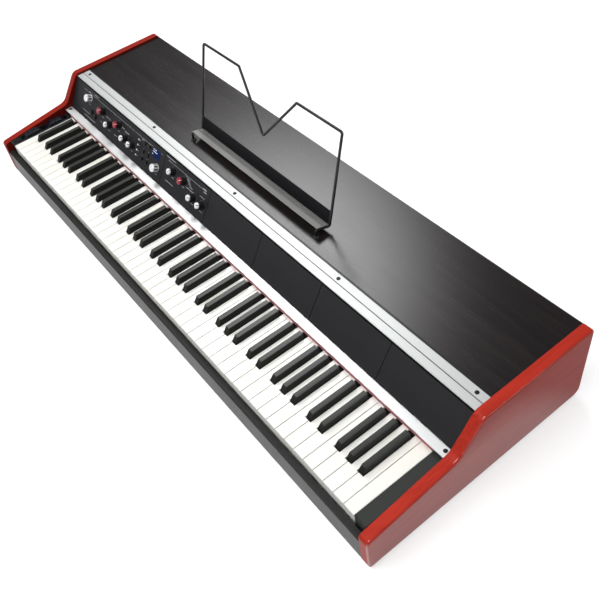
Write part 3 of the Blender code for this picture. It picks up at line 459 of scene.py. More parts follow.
@dataclass(frozen=True)
class EbonyPlastic(Finish):
    """Matte black key plastic with a fine lengthwise grain; its crown is painted paler as painted light
    from above, and its sides darker as painted shade.
    """

    crown: float = 0.0962
    crown_depth: float = 0.0012
    # The sides' colour: painted shade, darker than the crown.
    side: Colour = (0.006, 0.006, 0.0055)

    def paint(self, graph: Graph) -> None:
        """Lengthwise grain, painted light on the crown and painted shade on the sides, worn a little
        smoother in places.

        Args:
            graph: the material's tree.
        """
        grain = graph.noise((900.0, 45.0, 900.0), 4.0, 0.6)
        worn = graph.noise((18.0, 12.0, 18.0), 2.0)
        # Painted light: the crown takes the paler grained colour and the sides the darker side colour, as
        # light from above would show them.
        lit_crown = graph.spread(graph.axis("Z"), self.crown - self.crown_depth, self.crown)
        top = graph.mix(graph.spread(grain, 0.4, 0.75) * 0.5, self.colour, self.toned(1.5))
        graph.set(base_color=graph.mix(lit_crown, self.side, top))
        graph.set(coat_weight=lit_crown * 0.35, coat_roughness=0.25)
        graph.set(roughness=self.roughness + (grain - 0.5) * 0.12 - (worn - 0.5) * 0.12)
        graph.set(normal=graph.bump(grain, 0.00004, 0.4))


@dataclass(frozen=True)
class Felt(Finish):
    """Pressed wool felt."""

    def paint(self, graph: Graph) -> None:
        """Matted fibres in two sizes.

        Args:
            graph: the material's tree.
        """
        fibres = graph.noise(2600.0, 5.0, 0.7)
        tufts = graph.noise(420.0, 3.0)
        matted = (fibres * 0.6 + tufts * 0.4).limited()
        graph.set(base_color=graph.mix(matted, self.colour, self.toned(0.55)))
        graph.set(normal=graph.bump(fibres * 0.6 + tufts * 0.6, 0.0004, 0.8))
        graph.set(sheen_weight=0.4, sheen_roughness=0.5)


@dataclass(frozen=True)
class Glow(Finish):
    """A lit surface, such as a display's ground, its marks or a small lamp."""

    strength: float = 1.0

    def paint(self, graph: Graph) -> None:
        """Colour that also shines, with faint mottling.

        Args:
            graph: the material's tree.
        """
        mottle = graph.spread(graph.noise(900.0, 1.0), 0.4, 0.6)
        lit = graph.mix(mottle * 0.5, self.colour, self.toned(0.8))
        graph.set(base_color=lit, emission_color=lit, emission_strength=self.strength)


class Finishes:
    """Every finish on the piano."""

    lacquer = Lacquer("cheek_lacquer", "red_lacquer", (0.42, 0.031, 0.018), 0.30, 0.045)
    veneer = DarkVeneer("dark_veneer", "dark_wood", (0.0086, 0.0068, 0.0073), 0.22, 0.5)
    upper_metal = BrushedMetal("upper_trim_metal", "aluminium", (0.59, 0.603, 0.60), 0.46, metal=0.55)
    lower_metal = BrushedMetal("lower_trim_metal", "aluminium", (0.80, 0.81, 0.81), 0.44, metal=0.65)
    groove = Textured("groove_strip", "black_satin", (0.09, 0.09, 0.09), 0.6, 0.3)
    charcoal = Textured("charcoal_paint", "charcoal", (0.0110, 0.0110, 0.0130), 0.55, 0.30, speckle=0.25)
    powder = Textured("powder_coat", "black_steel", (0.018, 0.018, 0.019), 0.52, 0.5, 900.0, 0.00008,
                      metal=0.2)
    rail = Textured("rail_plastic", "black_satin", (0.021, 0.021, 0.0205), 0.40, 0.24, 1200.0, 0.00002)
    block = Textured("block_plastic", "black_satin", (0.014, 0.017, 0.0145), 0.38, 0.4, 1500.0, 0.00002)
    glossy_block = Textured("bass_block_plastic", "black_satin", (0.010, 0.011, 0.012), 0.22, 0.5,
                            1500.0, 0.00001)
    wheel = Textured("wheel_plastic", "black_satin", (0.004, 0.006, 0.011), 0.26, 0.4, 1500.0, 0.00001)
    ivory = IvoryPlastic("white_key_resin", "white_key", (0.84, 0.835, 0.80), 0.28)
    ebony = EbonyPlastic("black_key_resin", "black_key", (0.024, 0.026, 0.023), 0.42, 0.16)
    felt = Felt("pressed_felt", "red_felt", (0.46, 0.020, 0.045), 0.95)
    knob_body = Textured("knob_body", "black_satin", (0.008, 0.008, 0.009), 0.42, 0.35, 1600.0, 0.00002)
    red_cap = Textured("crimson_cap", "red_cap", (0.28, 0.008, 0.020), 0.28, 0.5, 1200.0, 0.00001, coat=0.3)
    white_cap = Textured("pale_cap", "white_cap", (0.80, 0.81, 0.82), 0.24, 0.5, 1200.0, 0.00001, coat=0.3)
    dial = SpunMetal("dial_metal", "silver", (0.95, 0.96, 0.97), 0.32, metal=0.5)
    button = Textured("button_rubber", "black_satin", (0.006, 0.006, 0.007), 0.42, 0.35, 1400.0, 0.00002)
    ink = Textured("printed_marks", "white_cap", (0.50, 0.50, 0.52), 0.55, 0.3, 2000.0, 0.00001)
    dark_ink = Textured("pointer_mark", "black_satin", (0.02, 0.02, 0.022), 0.5, 0.3, 2000.0, 0.00001)
    screw = Textured("black_screw", "black_satin", (0.008, 0.008, 0.009), 0.34, 0.5, 1600.0, 0.00001,
                     metal=0.4)
    wire = Textured("wire_paint", "black_wire", (0.006, 0.006, 0.007), 0.32, 0.45, 1400.0, 0.00002)
    plate = Textured("plate_paint", "black_wire", (0.005, 0.005, 0.0065), 0.6, 0.12, 1400.0, 0.00002)
    ledge = Textured("ledge_paint", "black_wire", (0.30, 0.30, 0.29), 0.46, 0.5, 1100.0, 0.00002, metal=0.6)
    rubber = Textured("foot_rubber", "black_satin", (0.015, 0.015, 0.015), 0.75, 0.5, 900.0, 0.00006)
    nickel = SpunMetal("nickel", "bright_steel", (0.62, 0.61, 0.59), 0.26)
    bed = BrushedMetal("zinc_plate", "bed_metal", (0.55, 0.56, 0.57), 0.42, 0.5, 2400.0)
    rod = SpunMetal("rod_steel", "bright_steel", (0.60, 0.60, 0.60), 0.22)
    board = Textured("board_mask", "circuit_green", (0.012, 0.085, 0.035), 0.35, 0.5, 700.0, 0.00003, 0.5)
    chip = Textured("chip_resin", "black_satin", (0.016, 0.016, 0.017), 0.5, 0.5, 1800.0, 0.00003)
    screen = Glow("display_ground", "display_blue", (0.004, 0.013, 0.060), 0.6, 0.08, 0.22)
    figures = Glow("display_figures", "white_cap", (0.72, 0.84, 1.0), 0.3, 0.3, 1.0)
    lamp = Glow("small_lamp", "white_cap", (0.62, 0.63, 0.64), 0.3, 0.3, 0.25)
    dark_lens = Textured("dark_lens", "black_satin", (0.02, 0.006, 0.007), 0.2, 0.5, 900.0, 0.00001)


# Shapes

MERGE = 1e-7
LETTER_THICK = 0.00004
LETTER_STEPS = 3


def of_kind(items: Iterable[Any], kind: type) -> list:
    """The mesh elements of one kind among others."""
    return [item for item in items if isinstance(item, kind)]


class Shape:
    """A mesh on its way to being one piece of the piano."""

    def __init__(self) -> None:
        """Start with nothing."""
        self.mesh = bmesh.new()

    @classmethod
    def block(cls, low: Sequence[float], high: Sequence[float]) -> "Shape":
        """A box between two corners.

        Args:
            low: the lowest corner.
            high: the highest corner.

        Returns:
            The closed box.
        """
        made = cls()
        bmesh.ops.create_cube(made.mesh, size=1.0)
        low, high = Vector(low), Vector(high)
        bmesh.ops.scale(made.mesh, vec=high - low, verts=made.mesh.verts)
        return made.moved((high + low) / 2)

    @classmethod
    def sheet(cls, corners: Iterable[Sequence[float]], offset: Sequence[float]) -> "Shape":
        """A flat outline drawn out into a solid.

        Args:
            corners: the outline in order, in space.
            offset: how far and which way it is drawn out.

        Returns:
            The closed solid.
        """
        made = cls()
        face = made.mesh.faces.new([made.mesh.verts.new(corner) for corner in corners])
        made.draw_out([face], offset, True)
        return made.outward()

    @classmethod
    def profile(cls, outline: Iterable[Flat], low_x: float, high_x: float) -> "Shape":
        """A (y, z) outline drawn out along X."""
        return cls.sheet([(low_x, y, z) for y, z in outline], (high_x - low_x, 0.0, 0.0))

    @classmethod
    def turned(cls, outline: Sequence[Flat], steps: int = 32, closed: bool = False) -> "Shape":
        """A (radius, height) outline turned about Z.

        Args:
            outline: starts and ends on the axis, or is clear of it.
            steps: parts of the full turn.
            closed: whether the last point joins the first, for an outline clear of the axis.

        Returns:
            The closed solid.
        """
        made = cls()
        line = [made.mesh.verts.new((radius, 0.0, height)) for radius, height in outline]
        following = line[1:] + (line[:1] if closed else [])
        edges = [made.mesh.edges.new(pair) for pair in zip(line, following)]
        bmesh.ops.spin(made.mesh, geom=line + edges, cent=(0, 0, 0), axis=(0, 0, 1), angle=math.tau,
                       steps=steps, use_merge=True)
        bmesh.ops.remove_doubles(made.mesh, verts=made.mesh.verts, dist=MERGE)
        return made.outward()

    @classmethod
    def ring(cls, outline: Sequence[Flat]) -> "Shape":
        """A closed (radius, height) outline, clear of the axis, turned about Z."""
        return cls.turned(outline, 28, True)

    @classmethod
    def fluted(cls, radius: float, depth: float, flutes: int, low: float, high: float) -> "Shape":
        """A round bar about Z with grooves along it.

        Args:
            radius: over the lands.
            depth: of a groove.
            flutes: how many grooves.
            low: where the bar starts on Z.
            high: where it ends.

        Returns:
            The closed solid.
        """
        made = cls()
        ring = bmesh.ops.create_circle(made.mesh, cap_ends=True, segments=flutes * 4, radius=radius)
        share = (radius - depth) / radius
        for index, vert in enumerate(ring["verts"]):
            if index % 4 in (0, 1):
                vert.co *= share
            vert.co.z = low
        made.draw_out(made.mesh.faces[:], (0.0, 0.0, high - low), True)
        return made.outward()

    @classmethod
    def of_node(cls, name: str, nodes: dict) -> "Shape":
        """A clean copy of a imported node's mesh.

        Args:
            name: the node's name.
            nodes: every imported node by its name.

        Returns:
            The closed solid.
        """
        made = cls()
        made.mesh.from_mesh(nodes[name].data)
        bmesh.ops.remove_doubles(made.mesh, verts=made.mesh.verts, dist=2e-6)
        bmesh.ops.dissolve_limit(made.mesh, angle_limit=math.radians(1.0), verts=made.mesh.verts,
                                 edges=made.mesh.edges)
        return made.outward()

    @classmethod
    def lettering(cls, text: str, height: float) -> "Shape":
        """A number or sign as a thin plate on the XY plane, centred on the origin.

        Args:
            text: what it says.
            height: the size of its type.

        Returns:
            The closed plate.
        """
        curve = bpy.data.curves.new("lettering", "FONT")
        curve.body = text
        curve.size = height
        curve.align_x = curve.align_y = "CENTER"
        curve.extrude = LETTER_THICK
        curve.resolution_u = curve.render_resolution_u = LETTER_STEPS
        holder = bpy.data.objects.new("lettering", curve)
        bpy.context.scene.collection.objects.link(holder)
        graph = bpy.context.evaluated_depsgraph_get()
        flat = bpy.data.meshes.new_from_object(holder.evaluated_get(graph))
        bpy.data.objects.remove(holder)
        made = cls()
        made.mesh.from_mesh(flat)
        bpy.data.meshes.remove(flat)
        bmesh.ops.remove_doubles(made.mesh, verts=made.mesh.verts, dist=MERGE)
        return made.outward()

    def draw_out(self, faces: Sequence[bmesh.types.BMFace], offset: Sequence[float],
                 keep: bool = False) -> list:
        """Extrude faces and shift their far end.

        Args:
            faces: the faces, of this shape.
            offset: the shift.
            keep: whether the faces stay, as the near end of a solid.

        Returns:
            Everything at the far end.
        """
        drawn = bmesh.ops.extrude_face_region(self.mesh, geom=faces, use_keep_orig=keep)["geom"]
        bmesh.ops.translate(self.mesh, vec=offset, verts=of_kind(drawn, bmesh.types.BMVert))
        if not keep:
            left = [face for face in faces if face.is_valid]
            bmesh.ops.delete(self.mesh, geom=left, context="FACES_ONLY")
        return drawn

    def outward(self) -> "Shape":
        """Turn all faces outwards.

        Returns:
            The shape itself.
        """
        bmesh.ops.recalc_face_normals(self.mesh, faces=self.mesh.faces)
        self.mesh.normal_update()
        return self

    def sharp_edges(self, angle: float) -> list:
        """The edges whose faces meet at more than an angle, in degrees.

        Args:
            angle: the limit, in degrees.

        Returns:
            The edges.
        """
        limit = math.radians(angle)
        return [edge for edge in self.mesh.edges
                if len(edge.link_faces) == 2 and edge.calc_face_angle() > limit]

    def soften(self, width: float, segments: int = 2, angle: float = 25.0,
               where: Optional[Callable[[Vector], bool]] = None) -> "Shape":
        """Round sharp edges.

        Args:
            width: of the rounding.
            segments: steps over the rounding.
            angle: edges sharper than this, in degrees, are rounded.
            where: rounds only the edges whose middle it accepts.

        Returns:
            The shape itself.
        """
        edges = self.sharp_edges(angle)
        if where:
            edges = [edge for edge in edges if where((edge.verts[0].co + edge.verts[1].co) / 2)]
        bmesh.ops.bevel(self.mesh, geom=edges, offset=width, offset_type="OFFSET", affect="EDGES",
                        segments=segments, profile=0.5, material=-1, clamp_overlap=True)
        self.mesh.normal_update()
        return self

    def moved(self, offset: Sequence[float]) -> "Shape":
        """Shift the shape."""
        bmesh.ops.translate(self.mesh, vec=offset, verts=self.mesh.verts)
        return self

    def turned_by(self, degrees: float, axis: str) -> "Shape":
        """Turn the shape about an axis through the origin.

        Args:
            degrees: how far it turns.
            axis: "X", "Y" or "Z".

        Returns:
            The shape itself.
        """
        turn = Matrix.Rotation(math.radians(degrees), 3, axis)
        bmesh.ops.rotate(self.mesh, matrix=turn, verts=self.mesh.verts)
        return self

    def placed(self, matrix: Matrix) -> "Shape":
        """Put the shape where a matrix says."""
        bmesh.ops.transform(self.mesh, matrix=matrix, verts=self.mesh.verts)
        return self

    def joined(self, *others: "Shape") -> "Shape":
        """Take other shapes into this one, as islands.

        Args:
            others: the other shapes, used up by this.

        Returns:
            The shape itself.
        """
        for other in others:
            data = bpy.data.meshes.new("island")
            other.mesh.to_mesh(data)
            other.mesh.free()
            self.mesh.from_mesh(data)
            bpy.data.meshes.remove(data)
        return self

    def piece(self, name: str, finish: Finish, body: str = CASE, replaces: Sequence[str] = (),
              smooth: float = 40.0) -> bpy.types.Object:
        """End as a finished piece that rides on a body.

        Args:
            name: the piece's name.
            finish: what it is finished with.
            body: the body that it moves with.
            replaces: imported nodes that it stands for.
            smooth: edges sharper than this, in degrees, stay sharp.

        Returns:
            The piece's object.
        """
        data = bpy.data.meshes.new(name)
        self.mesh.to_mesh(data)
        self.mesh.free()
        data.shade_smooth()
        data.set_sharp_from_angle(angle=math.radians(smooth))
        data.materials.append(finish.material())
        made = bpy.data.objects.new(name, data)
        bpy.context.scene.collection.objects.link(made)
        even = made.modifiers.new("Even shading", "WEIGHTED_NORMAL")
        even.mode = "FACE_AREA"
        even.weight = 100
        even.keep_sharp = True
        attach(made, body)
        if replaces:
            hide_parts(*replaces)
        LOG.info("%s rides on %s, finished in %s", name, body, finish.name)
        return made


def rounded(corners: Sequence[tuple[float, float, float]], steps: int = 10) -> list[Flat]:
    """Draw an outline's corners as arcs.

    Args:
        corners: (y, z, radius) in order.
        steps: parts of each arc.

    Returns:
        The outline's points.
    """
    points = []
    for index, (y, z, radius) in enumerate(corners):
        here = Vector((y, z))
        before = (Vector(corners[index - 1][:2]) - here).normalized()
        after = (Vector(corners[(index + 1) % len(corners)][:2]) - here).normalized()
        half = before.angle(after) / 2
        centre = here + (before + after).normalized() * radius / math.sin(half)
        start = here + before * radius / math.tan(half) - centre
        end = here + after * radius / math.tan(half) - centre
        sweep = start.angle_signed(end, 0.0)
        for step in range(steps + 1):
            points.append(tuple(centre + Matrix.Rotation(-sweep * step / steps, 2) @ start))
    return points


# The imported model


class Model:
    """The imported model: its nodes, boxes and joints."""

    def __init__(self, frame: dict) -> None:
        """Keep the loaded frame."""
        self.nodes = frame["nodes"]
        self.joints = {joint["child"]: joint for joint in frame["joints"]}

    def low(self, node: str) -> Vector:
        """A node's lowest corner."""
        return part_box(node)[0]

    def high(self, node: str) -> Vector:
        """A node's highest corner."""
        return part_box(node)[1]

    def pivot(self, body: str) -> Vector:
        """Where a body's joint stands."""
        return Vector(self.joints[body]["pos_m"])

    def dress(self, node: str, finish: Finish) -> None:
        """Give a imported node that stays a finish.

        Args:
            node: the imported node.
            finish: what it is finished with.
        """
        kept = self.nodes[node]
        if not kept.material_slots:
            kept.data.materials.append(finish.material())
        for slot in kept.material_slots:
            slot.material = finish.material()
        LOG.info("%s stays, finished in %s", node, finish.name)

    def softened(self, node: str, finish: Finish, width: float, segments: int = 2, body: str = CASE,
                 where: Optional[Callable[[Vector], bool]] = None) -> None:
        """Put a copy of a node with rounded edges in its place.

        Args:
            node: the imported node.
            finish: what the copy is finished with.
            width: of the rounding.
            segments: steps over the rounding.
            body: the body that it moves with.
            where: rounds only the edges whose middle it accepts.
        """
        shape = Shape.of_node(node, self.nodes).soften(width, segments, where=where)
        shape.piece(f"{node}_shell", finish, body, (node,))


@dataclass(frozen=True)
class Slope:
    """The panel's plane: X along it, Y up it from its lower edge, Z out of it."""

    foot: Vector
    angle: float
    length: float

    @classmethod
    def of(cls, model: Model, node: str, knob: str) -> "Slope":
        """Find the plane from a plate and from the axis of a knob in it.

        Args:
            model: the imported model.
            node: a plain plate on the slope.
            knob: a knob's body.

        Returns:
            The slope.
        """
        axis = model.joints[knob]["axis"]
        angle = math.atan2(-axis[1], axis[2])
        sine, cosine = math.sin(angle), math.cos(angle)
        low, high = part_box(node)
        rise, depth = high.z - low.z, high.y - low.y
        length = (rise * sine - depth * cosine) / (sine ** 2 - cosine ** 2)
        thick = (rise * cosine - depth * sine) / (cosine ** 2 - sine ** 2)
        return cls(Vector((0.0, low.y, low.z + thick * cosine)), angle, length)

    def at(self, x: float, up: float, out: float = 0.0) -> Matrix:
        """The matrix that stands a shape on the slope."""
        turn = Matrix.Rotation(self.angle, 4, "X")
        return Matrix.Translation(self.foot) @ turn @ Matrix.Translation((x, up, out))

    def at_point(self, point: Vector) -> Matrix:
        """The matrix that stands a shape on a point of the slope."""
        return Matrix.Translation(point) @ Matrix.Rotation(self.angle, 4, "X")

    def flat(self, point: Vector) -> Flat:
        """A point's places along the slope and up it."""
        reach = point - self.foot
        return point.x, reach.y * math.cos(self.angle) + reach.z * math.sin(self.angle)


# Case


@dataclass
class Screw:
    """A pan-head screw with a round socket."""

    radius: float = 0.0036
    rise: float = 0.0012
    socket: float = 0.0015
    sunk: float = 0.0002

    def shape(self) -> Shape:
        """The head, standing on the XY plane.

        Returns:
            The closed head.
        """
        top = self.rise
        dome = [(0.0, -self.sunk), (self.radius, -self.sunk), (self.radius, top * 0.35),
                (self.radius * 0.86, top * 0.85), (self.radius * 0.7, top), (self.socket, top),
                (self.socket, top * 0.25), (0.0, top * 0.25)]
        return Shape.turned(dome, 24)

    def place(self, name: str, matrix: Matrix) -> None:
        """Put a screw where a matrix says."""
        self.shape().placed(matrix).piece(name, Finishes.screw)


@dataclass
class Cheeks:
    """The two lacquered end cheeks."""

    model: Model
    edge: float = 0.0040
    inner_edge: float = 0.0014
    near: float = 0.001
    far: float = 0.015
    low_slope: float = 7.7
    steep_slope: float = 52.0
    front_drop: float = 0.0012
    radii: tuple = (0.004, 0.009, 0.028, 0.018, 0.007, 0.016)
    brow_setback: float = 0.003

    def outline(self, node: str) -> list[Flat]:
        """Side view of a cheek: low front, S-bend, level top.

        Args:
            node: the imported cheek.

        Returns:
            The (y, z) outline, with rounded corners.
        """
        low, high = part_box(node)
        brow_y = self.model.low("upper_trim").y - self.brow_setback
        front_z = self.model.high("white_keys_low").z - self.front_drop
        gentle = math.tan(math.radians(self.low_slope))
        steep = math.tan(math.radians(self.steep_slope))
        knee_y = (high.z - front_z - steep * brow_y + gentle * low.y) / (gentle - steep)
        knee_z = front_z + gentle * (knee_y - low.y)
        corners = [(low.y, low.z), (low.y, front_z), (knee_y, knee_z), (brow_y, high.z), (high.y, high.z),
                   (high.y, low.z)]
        return rounded([(y, z, radius) for (y, z), radius in zip(corners, self.radii)])

    def build(self) -> None:
        """Make both cheeks."""
        for node in ("left_cheek", "right_cheek"):
            low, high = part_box(node)
            board = Shape.profile(self.outline(node), low.x, high.x)
            outer = high.x if high.x > 0 else low.x
            board.soften(self.edge, 5, 60.0, lambda middle: abs(middle.x - outer) < self.near)
            board.soften(self.inner_edge, 4, 60.0, lambda middle: abs(middle.x - outer) > self.far)
            board.piece(f"{node}_board", Finishes.lacquer, replaces=(node,))


@dataclass
class TopBoard:
    """The dark wooden board behind the controls."""

    model: Model
    edge: float = 0.0008
    # The dark strip along the trim's rear edge is a painted shadow: joint is its width, the values below
    # give its place.
    joint: float = 0.0040
    shadow_line_inset: float = 0.001
    shadow_line_gap: float = 0.0001
    shadow_line_sunk: float = 0.0002
    shadow_line_rise: float = 0.00008

    def build(self) -> None:
        """Round the board's edges, finish it in veneer and lay a dark strip along its joint with the trim,
        a painted shadow of the trim's rear edge.
        """
        self.model.softened("top_panel", Finishes.veneer, self.edge)
        low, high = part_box("top_panel")
        front = self.model.high("upper_trim").y
        start = (low.x + self.shadow_line_inset, front + self.shadow_line_gap, high.z - self.shadow_line_sunk)
        end = (high.x - self.shadow_line_inset, front + self.joint, high.z + self.shadow_line_rise)
        # Painted shadow: a dark strip on the board where the trim's rear edge shades it.
        Shape.block(start, end).piece("joint_line", Finishes.screw)


@dataclass
class Trims:
    """The two aluminium trims with their screws."""

    model: Model
    thick: float = 0.0025
    edge: float = 0.0005
    groove_width: float = 0.0018
    groove_depth: float = 0.0021
    groove_from_rear: float = 0.0162
    strip_rise: float = 0.0009
    strip_edge: float = 0.0001
    screw_inset: float = 0.0198
    screw_count: int = 5
    screw_from_rear: float = 0.0081
    lower_inset: float = 0.0085
    lower_from_rear: float = 0.0072

    def build(self) -> None:
        """Make both trims and drive their screws."""
        self._upper()
        self._lower()

    def _upper(self) -> None:
        """The wide trim with its groove."""
        low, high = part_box("upper_trim")
        top = low.z + self.thick
        groove = high.y - self.groove_from_rear
        half = self.groove_width / 2
        floor = top - self.groove_depth
        outline = [(low.y, low.z), (low.y, top), (groove - half, top), (groove - half, floor),
                   (groove + half, floor), (groove + half, top), (high.y, top), (high.y, low.z)]
        trim = Shape.profile(outline, low.x, high.x)
        trim.soften(self.edge, 2, where=lambda middle: abs(middle.y - groove) > self.groove_width)
        trim.piece("upper_trim_strip", Finishes.upper_metal, replaces=("upper_trim",))
        strip = Shape.block((low.x, groove - half, floor), (high.x, groove + half, floor + self.strip_rise))
        strip.soften(self.strip_edge, 1).piece("groove_strip", Finishes.groove)
        first = self.screw_inset + self.model.low("left_key_block").x
        for index in range(self.screw_count):
            x = first - 2 * first * index / (self.screw_count - 1)
            place = Matrix.Translation((x, high.y - self.screw_from_rear, top))
            Screw().place(f"upper_screw_{index + 1}", place)

    def _lower(self) -> None:
        """The narrow trim between the keys and the slope."""
        low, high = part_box("lower_trim")
        top = low.z + self.thick
        trim = Shape.block(low, (high.x, high.y, top)).soften(self.edge, 2)
        trim.piece("lower_trim_strip", Finishes.lower_metal, replaces=("lower_trim",))
        for index, x in enumerate((low.x + self.lower_inset, high.x - self.lower_inset)):
            place = Matrix.Translation((x, high.y - self.lower_from_rear, top))
            Screw().place(f"lower_screw_{index + 1}", place)


@dataclass
class FrontRail:
    """The black rail in front of the keys, with a fine step along its top edge."""

    step_width: float = 0.0028
    step_drop: float = 0.0012
    edge: float = 0.0006

    def build(self) -> None:
        """Draw the rail's outline along the case."""
        low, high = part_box("front_rail")
        step_y, step_z = low.y + self.step_width, high.z - self.step_drop
        outline = [(low.y, low.z), (low.y, step_z), (step_y, step_z), (step_y, high.z), (high.y, high.z),
                   (high.y, low.z)]
        rail = Shape.profile(outline, low.x, high.x).soften(self.edge, 3)
        rail.piece("front_rail_bar", Finishes.rail, replaces=("front_rail",))


@dataclass
class Chassis:
    """The folded tray with its feet and screws."""

    model: Model
    foot_reach: float = 0.05
    foot_clear: float = 0.001
    foot_gap: float = 0.0001
    foot_taper: float = 0.0016
    recess_depth: float = 0.0022
    recess_shares: Flat = (0.42, 0.40)
    screw_inset: float = 0.02
    screw_size: Flat = (0.0035, 0.001)
    screw_columns: tuple = (-0.56, -0.28, 0.0, 0.28, 0.56)

    def build(self) -> None:
        """Make the tray without its fused feet, then rubber feet and screws."""
        floor = self.model.low("left_cheek").z
        tray = Shape.of_node("chassis_tray", self.model.nodes)
        feet = [vert for vert in tray.mesh.verts if vert.co.z < floor - self.foot_clear]
        centres = self._centres(feet)
        reaches = [(vert.co.xy - centres[0].xy).length for vert in feet]
        radius = max(reach for reach in reaches if reach < self.foot_reach)
        bmesh.ops.delete(tray.mesh, geom=feet, context="VERTS")
        bmesh.ops.holes_fill(tray.mesh, edges=tray.mesh.edges, sides=0)
        tray.outward().piece("tray_shell", Finishes.powder, replaces=("chassis_tray",))
        for index, centre in enumerate(centres):
            self._foot(index, centre, radius, floor)
        low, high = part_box("chassis_tray")
        rows = (low.y + self.screw_inset, high.y - self.screw_inset)
        places = [(x, y) for y in rows for x in self.screw_columns]
        for index, (x, y) in enumerate(places):
            place = Matrix.Translation((x, y, floor)) @ Matrix.Rotation(math.pi, 4, "X")
            Screw(*self.screw_size).place(f"floor_screw_{index + 1}", place)

    def _centres(self, feet: Sequence[bmesh.types.BMVert]) -> list[Vector]:
        """The middles of the four feet, from their vertices.

        Args:
            feet: the vertices of all four feet.

        Returns:
            The middle of each foot.
        """
        groups: dict[tuple[bool, bool], list[Vector]] = {}
        for vert in feet:
            groups.setdefault((vert.co.x > 0, vert.co.y > 0), []).append(vert.co.copy())
        return [sum(group, Vector()) / len(group) for group in groups.values()]

    def _foot(self, index: int, centre: Vector, radius: float, floor: float) -> None:
        """One turned rubber foot with a recess for its screw.

        Args:
            index: its place among the feet.
            centre: its middle.
            radius: of its top.
            floor: the height of the tray's underside.
        """
        seat, taper, deep = floor - self.foot_gap, self.foot_taper, self.recess_depth
        mouth, bottom = (radius * share for share in self.recess_shares)
        outline = [(0.0, seat), (radius, seat), (radius, taper), (radius - taper, 0.0), (mouth, 0.0),
                   (bottom, deep), (0.0, deep)]
        foot = Shape.turned(outline, 32).moved((centre.x, centre.y, 0.0))
        foot.piece(f"rubber_foot_{index + 1}", Finishes.rubber)


# Keyboard


class Tone(Enum):
    """The two colours of key."""

    WHITE = "white"
    BLACK = "black"


@dataclass(frozen=True)
class Key:
    """One key: its colour, note, octave and middle."""

    tone: Tone
    letter: str
    octave: int
    middle: float

    @property
    def name(self) -> str:
        """The key's name as a player says it."""
        sharp = "_sharp" if self.tone is Tone.BLACK else ""
        return f"{self.letter}{sharp}_{self.octave}"


